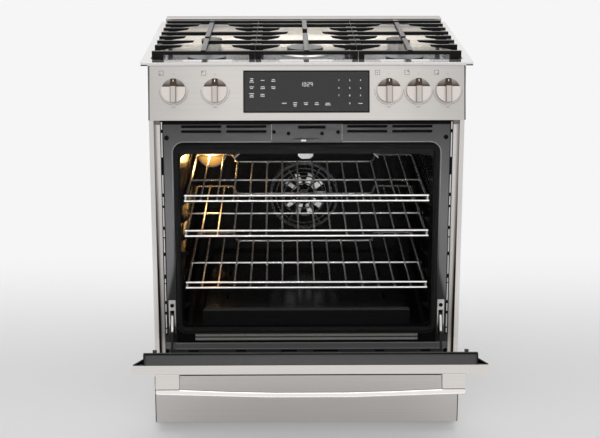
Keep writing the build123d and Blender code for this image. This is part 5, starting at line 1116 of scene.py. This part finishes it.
PROBE_PLACE = (0.236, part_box("fan_cover")[1].y, 0.6)
PROBE = (0.003, 0.055)
PROBE_TIP = (0.0012, 0.0012)
PROBE_FOOT = 0.004
PROBE_FLANGE = (0.0085, 0.002)
probe = disc("oven_probe", 20, *PROBE)
crown(probe, *PROBE_TIP)
pick(probe, lambda face: face.normal.z < -0.9)
bpy.ops.mesh.inset(thickness=-PROBE_FOOT)
done()
rounded(probe, 0.0004)
flange = disc("probe_flange", 32, *PROBE_FLANGE)
rounded(flange, 0.0006)
probe_pieces = [twin(piece, face_frame(PROBE_PLACE)) for piece in (probe, flange)]
together("oven_probe", probe_pieces, finishes["wire_chrome"])
drop(probe, flange)

BLADE_TILTS = (0.3, 0.95)
blade_metal = speckled(80.0, 3.0, (0.80, 0.80, 0.79), (0.95, 0.94, 0.93), (0.25, 0.15))
wheel = softened("fan_wheel", 0.0003, 1)
wheel.data.materials.append(finish("bright_blade_metal", blade_metal, {"Metallic": 0.1}))
wheel.data.materials[0] = finishes["oven_enamel"]
for face in wheel.data.polygons:
    face.material_index = 1 if BLADE_TILTS[0] < abs(face.normal.y) < BLADE_TILTS[1] else 0
print("fan blades", sum(face.material_index for face in wheel.data.polygons), "faces")

# %% [markdown]
# ## Dark lines that frame the parts
# Where two sheets meet there is a narrow gap that no light reaches: at the ends of the control panel, under
# its lower edge, beside the frame and round the end of the door. Each gets a thin black strip of painted
# shade, and so do the ends of the cooktop's flange. The drawer has a painted dark line at each end, and a
# black sheet behind the vent slots is painted shade inside them. All are copies of one bar.

# %% Black strips of painted shade in the gaps
FILM = 0.0003
STRIP_CROWN = (0.08, 0.1)
strip_bar = begin("cube", "strip_bar", size=1.0)
strip_bar.data.transform(move(0, 0, 0.5))
crown(strip_bar, *STRIP_CROWN)


# Every strip below is a copy of this bar; the black ones are painted shade.
def seal(matrix, *size):
    """A copy of the bar at a place."""
    return twin(strip_bar, matrix, *size)


# Black strips of painted shade at the panel's ends, under it on the frame, in the seams beside the frame and
# under the ends of the cooktop's flange.
END_SHADE_STRIP = 0.0026
END_SHARE = 0.985
panel_run = (panel_high.z - panel_low.z) / panel_up.z
FRAME_SHADE_STRIP = (0.705, 0.0235, 0.0006)
FRAME_SHADE_STRIP_Z = 0.788
SEAM_WIDTH = 0.0075
SEAM_SPAN = (0.238, 0.79)
FLANGE_TIP = (0.016, 0.0026, FILM)
FLANGE_TIP_X = 0.386
FLANGE_TIP_DROP = 0.0066
flange_low, flange_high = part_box("cooktop")
shade_strips = [
    seal(panel @ move(side * (panel_high.x - END_SHADE_STRIP / 2), 0), END_SHADE_STRIP, panel_run * END_SHARE, FILM)
    for side in SIDES
]
shade_strips.append(seal(on_frame(0.0, FRAME_SHADE_STRIP_Z), *FRAME_SHADE_STRIP))
for side in SIDES:
    seam = on_frame(side * SEAM_X, sum(SEAM_SPAN) / 2)
    shade_strips.append(seal(seam, SEAM_WIDTH, SEAM_SPAN[1] - SEAM_SPAN[0], FILM))
    tip = face_frame((side * FLANGE_TIP_X, flange_low.y, flange_high.z - FLANGE_TIP_DROP))
    shade_strips.append(seal(tip, *FLANGE_TIP))
together("panel_shade_strips", shade_strips, deep_black)

# Painted shade at the door's end: a black line along it and a black patch at each side.
DOOR_END = 0.6046
END_LINE = (0.0338, 0.698, 0.0028)
END_SIDE = (0.3492, 0.0228, 0.003, 0.0235)
END_BEAD = (0.0364, 0.7, 0.0020)
end_face = face_frame(door @ Vector((0.0, DOOR_END, 0.0)), up=-(door.to_3x3() @ UP))
end_shade_strips = [seal(end_face @ move(0, END_LINE[0]), *END_LINE[1:], FILM)]
for side in SIDES:
    end_shade_strips.append(seal(end_face @ move(side * END_SIDE[0], END_SIDE[1]), *END_SIDE[2:], FILM))
together("door_end_shade_strips", end_shade_strips, deep_black, "door")
# A pale strip along the door's end is a painted highlight.
end_highlight = seal(end_face @ move(0, END_BEAD[0]), *END_BEAD[1:], FILM)
together("door_end_highlight", [end_highlight], edge_highlight, "door")

# A dark line of painted shade at each end of the drawer front.
DRAWER_EDGE = 0.0022
EDGE_SHARE = 0.97
edge_shade_colour = speckled(700.0, 3.0, grey(0.012), (0.030, 0.030, 0.031), (0.35, 0.2), (0.00005, 0.4))
drawer_edge_shade = finish("drawer_edge_painted_shade", edge_shade_colour)
drawer_low, drawer_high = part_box("drawer_front")
drawer_tall = drawer_high.z - drawer_low.z
edge_lines = []
for x in (drawer_low.x + DRAWER_EDGE / 2, drawer_high.x - DRAWER_EDGE / 2):
    edge = face_frame((x, drawer_low.y, (drawer_low.z + drawer_high.z) / 2))
    edge_lines.append(seal(edge, DRAWER_EDGE, drawer_tall * EDGE_SHARE, FILM))
together("drawer_edge_shade_lines", edge_lines, drawer_edge_shade, "drawer")

# A black sheet behind each vent slot is painted shade inside it.
BACK_BEHIND = 0.004
BACK_SHEET = 0.001
SLOT_SHADES = ((-0.2005, 0.7649, 0.218, 0.026), (0.2005, 0.7649, 0.218, 0.026), (0.012, 0.7695, 0.074, 0.011))
slot_shades = [seal(on_frame(x, z, BACK_BEHIND), *size, BACK_SHEET) for x, z, *size in SLOT_SHADES]
together("vent_slot_shade", slot_shades, deep_black)

# %% [markdown]
# ## Pale edges of the oven frame
# Where the enamelled sheet is rolled over, its edge catches the light, and that highlight is painted as a
# pale
# strip: round the oven's mouth, at the ends of the latch plate, along both edges of the band below the oven
# and at the front of the oven's floor. Lower down, above the band, the strips turn dark with painted shade
# round the oven's lower corners. Under that band a narrow sill closes the frame, with air slots in it that
# are painted black as painted shade. The ring round the mouth is a plane with rounded corners, inset and
# hollowed.

# %% Rolled edges and the sill
MOUTH_HALF = 0.3252
MOUTH_Z = (0.2438, 0.7322)
MOUTH_CORNER = 0.026
BEAD = 0.002
RING_HEIGHT = 0.0026
SUNK = 0.002
ring = begin("plane", "mouth_edge", size=1.0)
ring.data.transform(stretch(2 * (MOUTH_HALF + BEAD), MOUTH_Z[1] - MOUTH_Z[0] + 2 * BEAD))
edit_all()
bpy.ops.mesh.bevel(offset=MOUTH_CORNER + BEAD, segments=8, affect="VERTICES")
hollow_out(ring, BEAD)
thicken(ring, RING_HEIGHT)
face_out()
rounded(ring, 0.0004)
ring.data.transform(on_frame(0.0, sum(MOUTH_Z) / 2, SUNK))
edges = [ring]
PLATE_END = (0.0853, 0.7575)
PLATE_LINE = (0.0013, 0.039, FILM)
for side in SIDES:
    edges.append(seal(face_frame((side * PLATE_END[0], plate_front, PLATE_END[1])), *PLATE_LINE))
BAND_EDGES = (0.2160, 0.2008)
BAND_RUN = (-0.328, 0.346)
BAND_LINE = (BAND_RUN[1] - BAND_RUN[0], BEAD, 0.0008)
for z in BAND_EDGES:
    edges.append(seal(on_frame(sum(BAND_RUN) / 2, z), *BAND_LINE))
FLOOR_EDGE = 0.0018
FLOOR_SHORT = 0.004
floor_low, floor_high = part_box("oven_floor")
floor_front = face_frame((0.0, floor_low.y, floor_high.z - FLOOR_EDGE / 2))
edges.append(seal(floor_front, floor_high.x - floor_low.x - FLOOR_SHORT, FLOOR_EDGE, FILM))
together("frame_pale_edges", edges, edge_highlight)

SILL = (0.69, 0.0096, 0.002)
SILL_Z = 0.1952
SLOT_PROUD = 0.0002
SLOT_TALL = 0.0042
SILL_SLOTS = (
    (-0.2833, 0.025), (-0.1645, 0.025), (-0.0438, 0.040), (0.048, 0.062), (0.1838, 0.023), (0.2995, 0.023),
)
sill = seal(on_frame(0.0, SILL_Z, SUNK), *SILL)
together("frame_sill", [sill], own_finish["door_liner"])
# Black films in the sill's air slots are painted shade.
slots = [seal(on_frame(x, SILL_Z, -SLOT_PROUD), length, SLOT_TALL, FILM) for x, length in SILL_SLOTS]
together("sill_slot_shade", slots, deep_black)
drop(strip_bar)

# %% [markdown]
# ## The oven lamp
# The lamp glows warm behind its glass and lights the left wall and the wires near it. The lens gives off its
# own colour, paler in the middle, and a small warm light just in front of it does the lighting.

# %% The lamp
lamp_low, lamp_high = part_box("lamp_lens")
lamp_middle = (lamp_low + lamp_high) / 2
LIGHT_AHEAD = 0.02
LIGHT_POWER = 0.5
LIGHT_RADIUS = 0.02
LIGHT_COLOUR = (1.0, 0.55, 0.18)


def glowing(net):
    inputs = {0: here(net), 1: lamp_middle}
    away = net.node("VectorMath", {"operation": "DISTANCE"}, inputs, "Value")
    heat = net.node(
        "ValToRGB",
        {"stops": [(0.0, (0.88, 0.60, 0.20)), (0.55, (0.82, 0.46, 0.12)), (1.0, (0.45, 0.17, 0.03))]},
        {"Fac": away * (1 / (lamp_high.x - lamp_middle.x))},
    )
    return {"Base Color": (0.03, 0.02, 0.01), "Emission Color": heat, "Roughness": 0.25}


dress(nodes["lamp_lens"], finish("glowing_lamp_glass", glowing, {"Emission Strength": 1.0}))
bpy.ops.object.light_add(type="POINT", location=(lamp_middle.x, lamp_low.y - LIGHT_AHEAD, lamp_middle.z))
light = bpy.context.object
light.name = "oven_lamp_light"
light.data.energy = LIGHT_POWER
light.data.shadow_soft_size = LIGHT_RADIUS
light.data.color = LIGHT_COLOUR
print("lamp at", [round(v, 3) for v in lamp_middle])

# %% [markdown]
# ## The studio
# A pale floor that fades into the room, two large soft boxes above and in front, a low strip under the door
# and two narrow fills, for the oven and the cooktop. The room is white for the metals and has the paper's
# colour for the camera, so no horizon shows. What is seen of it has a strength of 1, and what lights the
# dull surfaces is weaker, so the colours come out as they are written and the shadow stays.

# %% Floor, room and lights
FLOOR_COLOUR = (0.74, 0.74, 0.745)
PAPER_COLOUR = (0.92, 0.92, 0.93)
PAPER_SHARE = 0.25
FADE_BACK = (-0.1, 1.2)
FADE_FRONT = (-0.5, -1.5)
FADE_SIDE = (1.1, 2.6)
ROOM_LIGHT = 0.5


def seen(net):
    """1 for rays from the camera or off metal and glass, else 0."""
    kinds = ("Camera", "Glossy", "Transmission")
    camera_ray, glossy_ray, clear_ray = [net.node("LightPath", out=f"Is {kind} Ray") for kind in kinds]
    return camera_ray.most(glossy_ray).most(clear_ray)


floor = begin("plane", "studio_floor", size=60)
floor_material = finish("studio_floor", lambda net: look(FLOOR_COLOUR, 0.7))
floor_tree = floor_material.node_tree
net = Socket(floor_tree)
depth = here(net).axis("Y")
far = depth.ramp(*FADE_BACK, "SMOOTHSTEP").most(depth.ramp(*FADE_FRONT, "SMOOTHSTEP"))
far = far.most(aside(net).ramp(*FADE_SIDE, "SMOOTHSTEP"))
share = PAPER_SHARE + (1.0 - PAPER_SHARE) * far
dull = Socket(floor_tree, floor_tree.nodes["Principled BSDF"].outputs[0])
paper = net.node("Emission", inputs={"Color": PAPER_COLOUR, "Strength": 1.0})
mixed = net.node("MixShader", inputs={0: share * seen(net), 1: dull, 2: paper})
fill(floor_tree.nodes["Material Output"].inputs["Surface"], mixed)
dress(floor, floor_material)

world = bpy.data.worlds.new("studio_room")
scene.world = world
world.use_nodes = True
room = Socket(world.node_tree)
camera_ray = room.node("LightPath", out="Is Camera Ray")
room_colour = camera_ray.blend(grey(1.0), PAPER_COLOUR)
background = world.node_tree.nodes["Background"].inputs
fill(background["Color"], room_colour)
fill(background["Strength"], ROOM_LIGHT + (1.0 - ROOM_LIGHT) * seen(room))


def soft_box(name, location, aim, size, power, spread=180.0, in_gloss=True):
    """An area light aimed at a point."""
    bpy.ops.object.light_add(type="AREA", location=location)
    light = bpy.context.object
    light.name = name
    light.data.shape = "RECTANGLE"
    light.data.size, light.data.size_y = size
    light.data.energy = power
    light.data.spread = radians(spread)
    light.rotation_euler = (Vector(aim) - Vector(location)).to_track_quat("-Z", "Y").to_euler()
    light.visible_glossy = in_gloss


soft_box("top_soft_box", (0.0, -0.9, 3.0), (0.0, -0.2, 0.5), (3.2, 2.4), 30.0)
soft_box("front_soft_box", (-0.6, -5.0, 1.9), (0.0, -0.3, 0.5), (2.4, 1.6), 75.0, in_gloss=False)
soft_box("low_strip", (0.0, -1.35, 0.03), (0.0, -0.95, 0.33), (2.2, 0.22), 1.5)
soft_box("oven_fill", (0.0, -3.4, 1.25), (0.0, 0.1, 0.46), (0.5, 0.3), 0.9, 14.0, False)
soft_box("cooktop_fill", (0.0, -2.3, 3.4), (0.0, 0.12, 0.9), (0.5, 0.3), 0.7, 13.0, False)
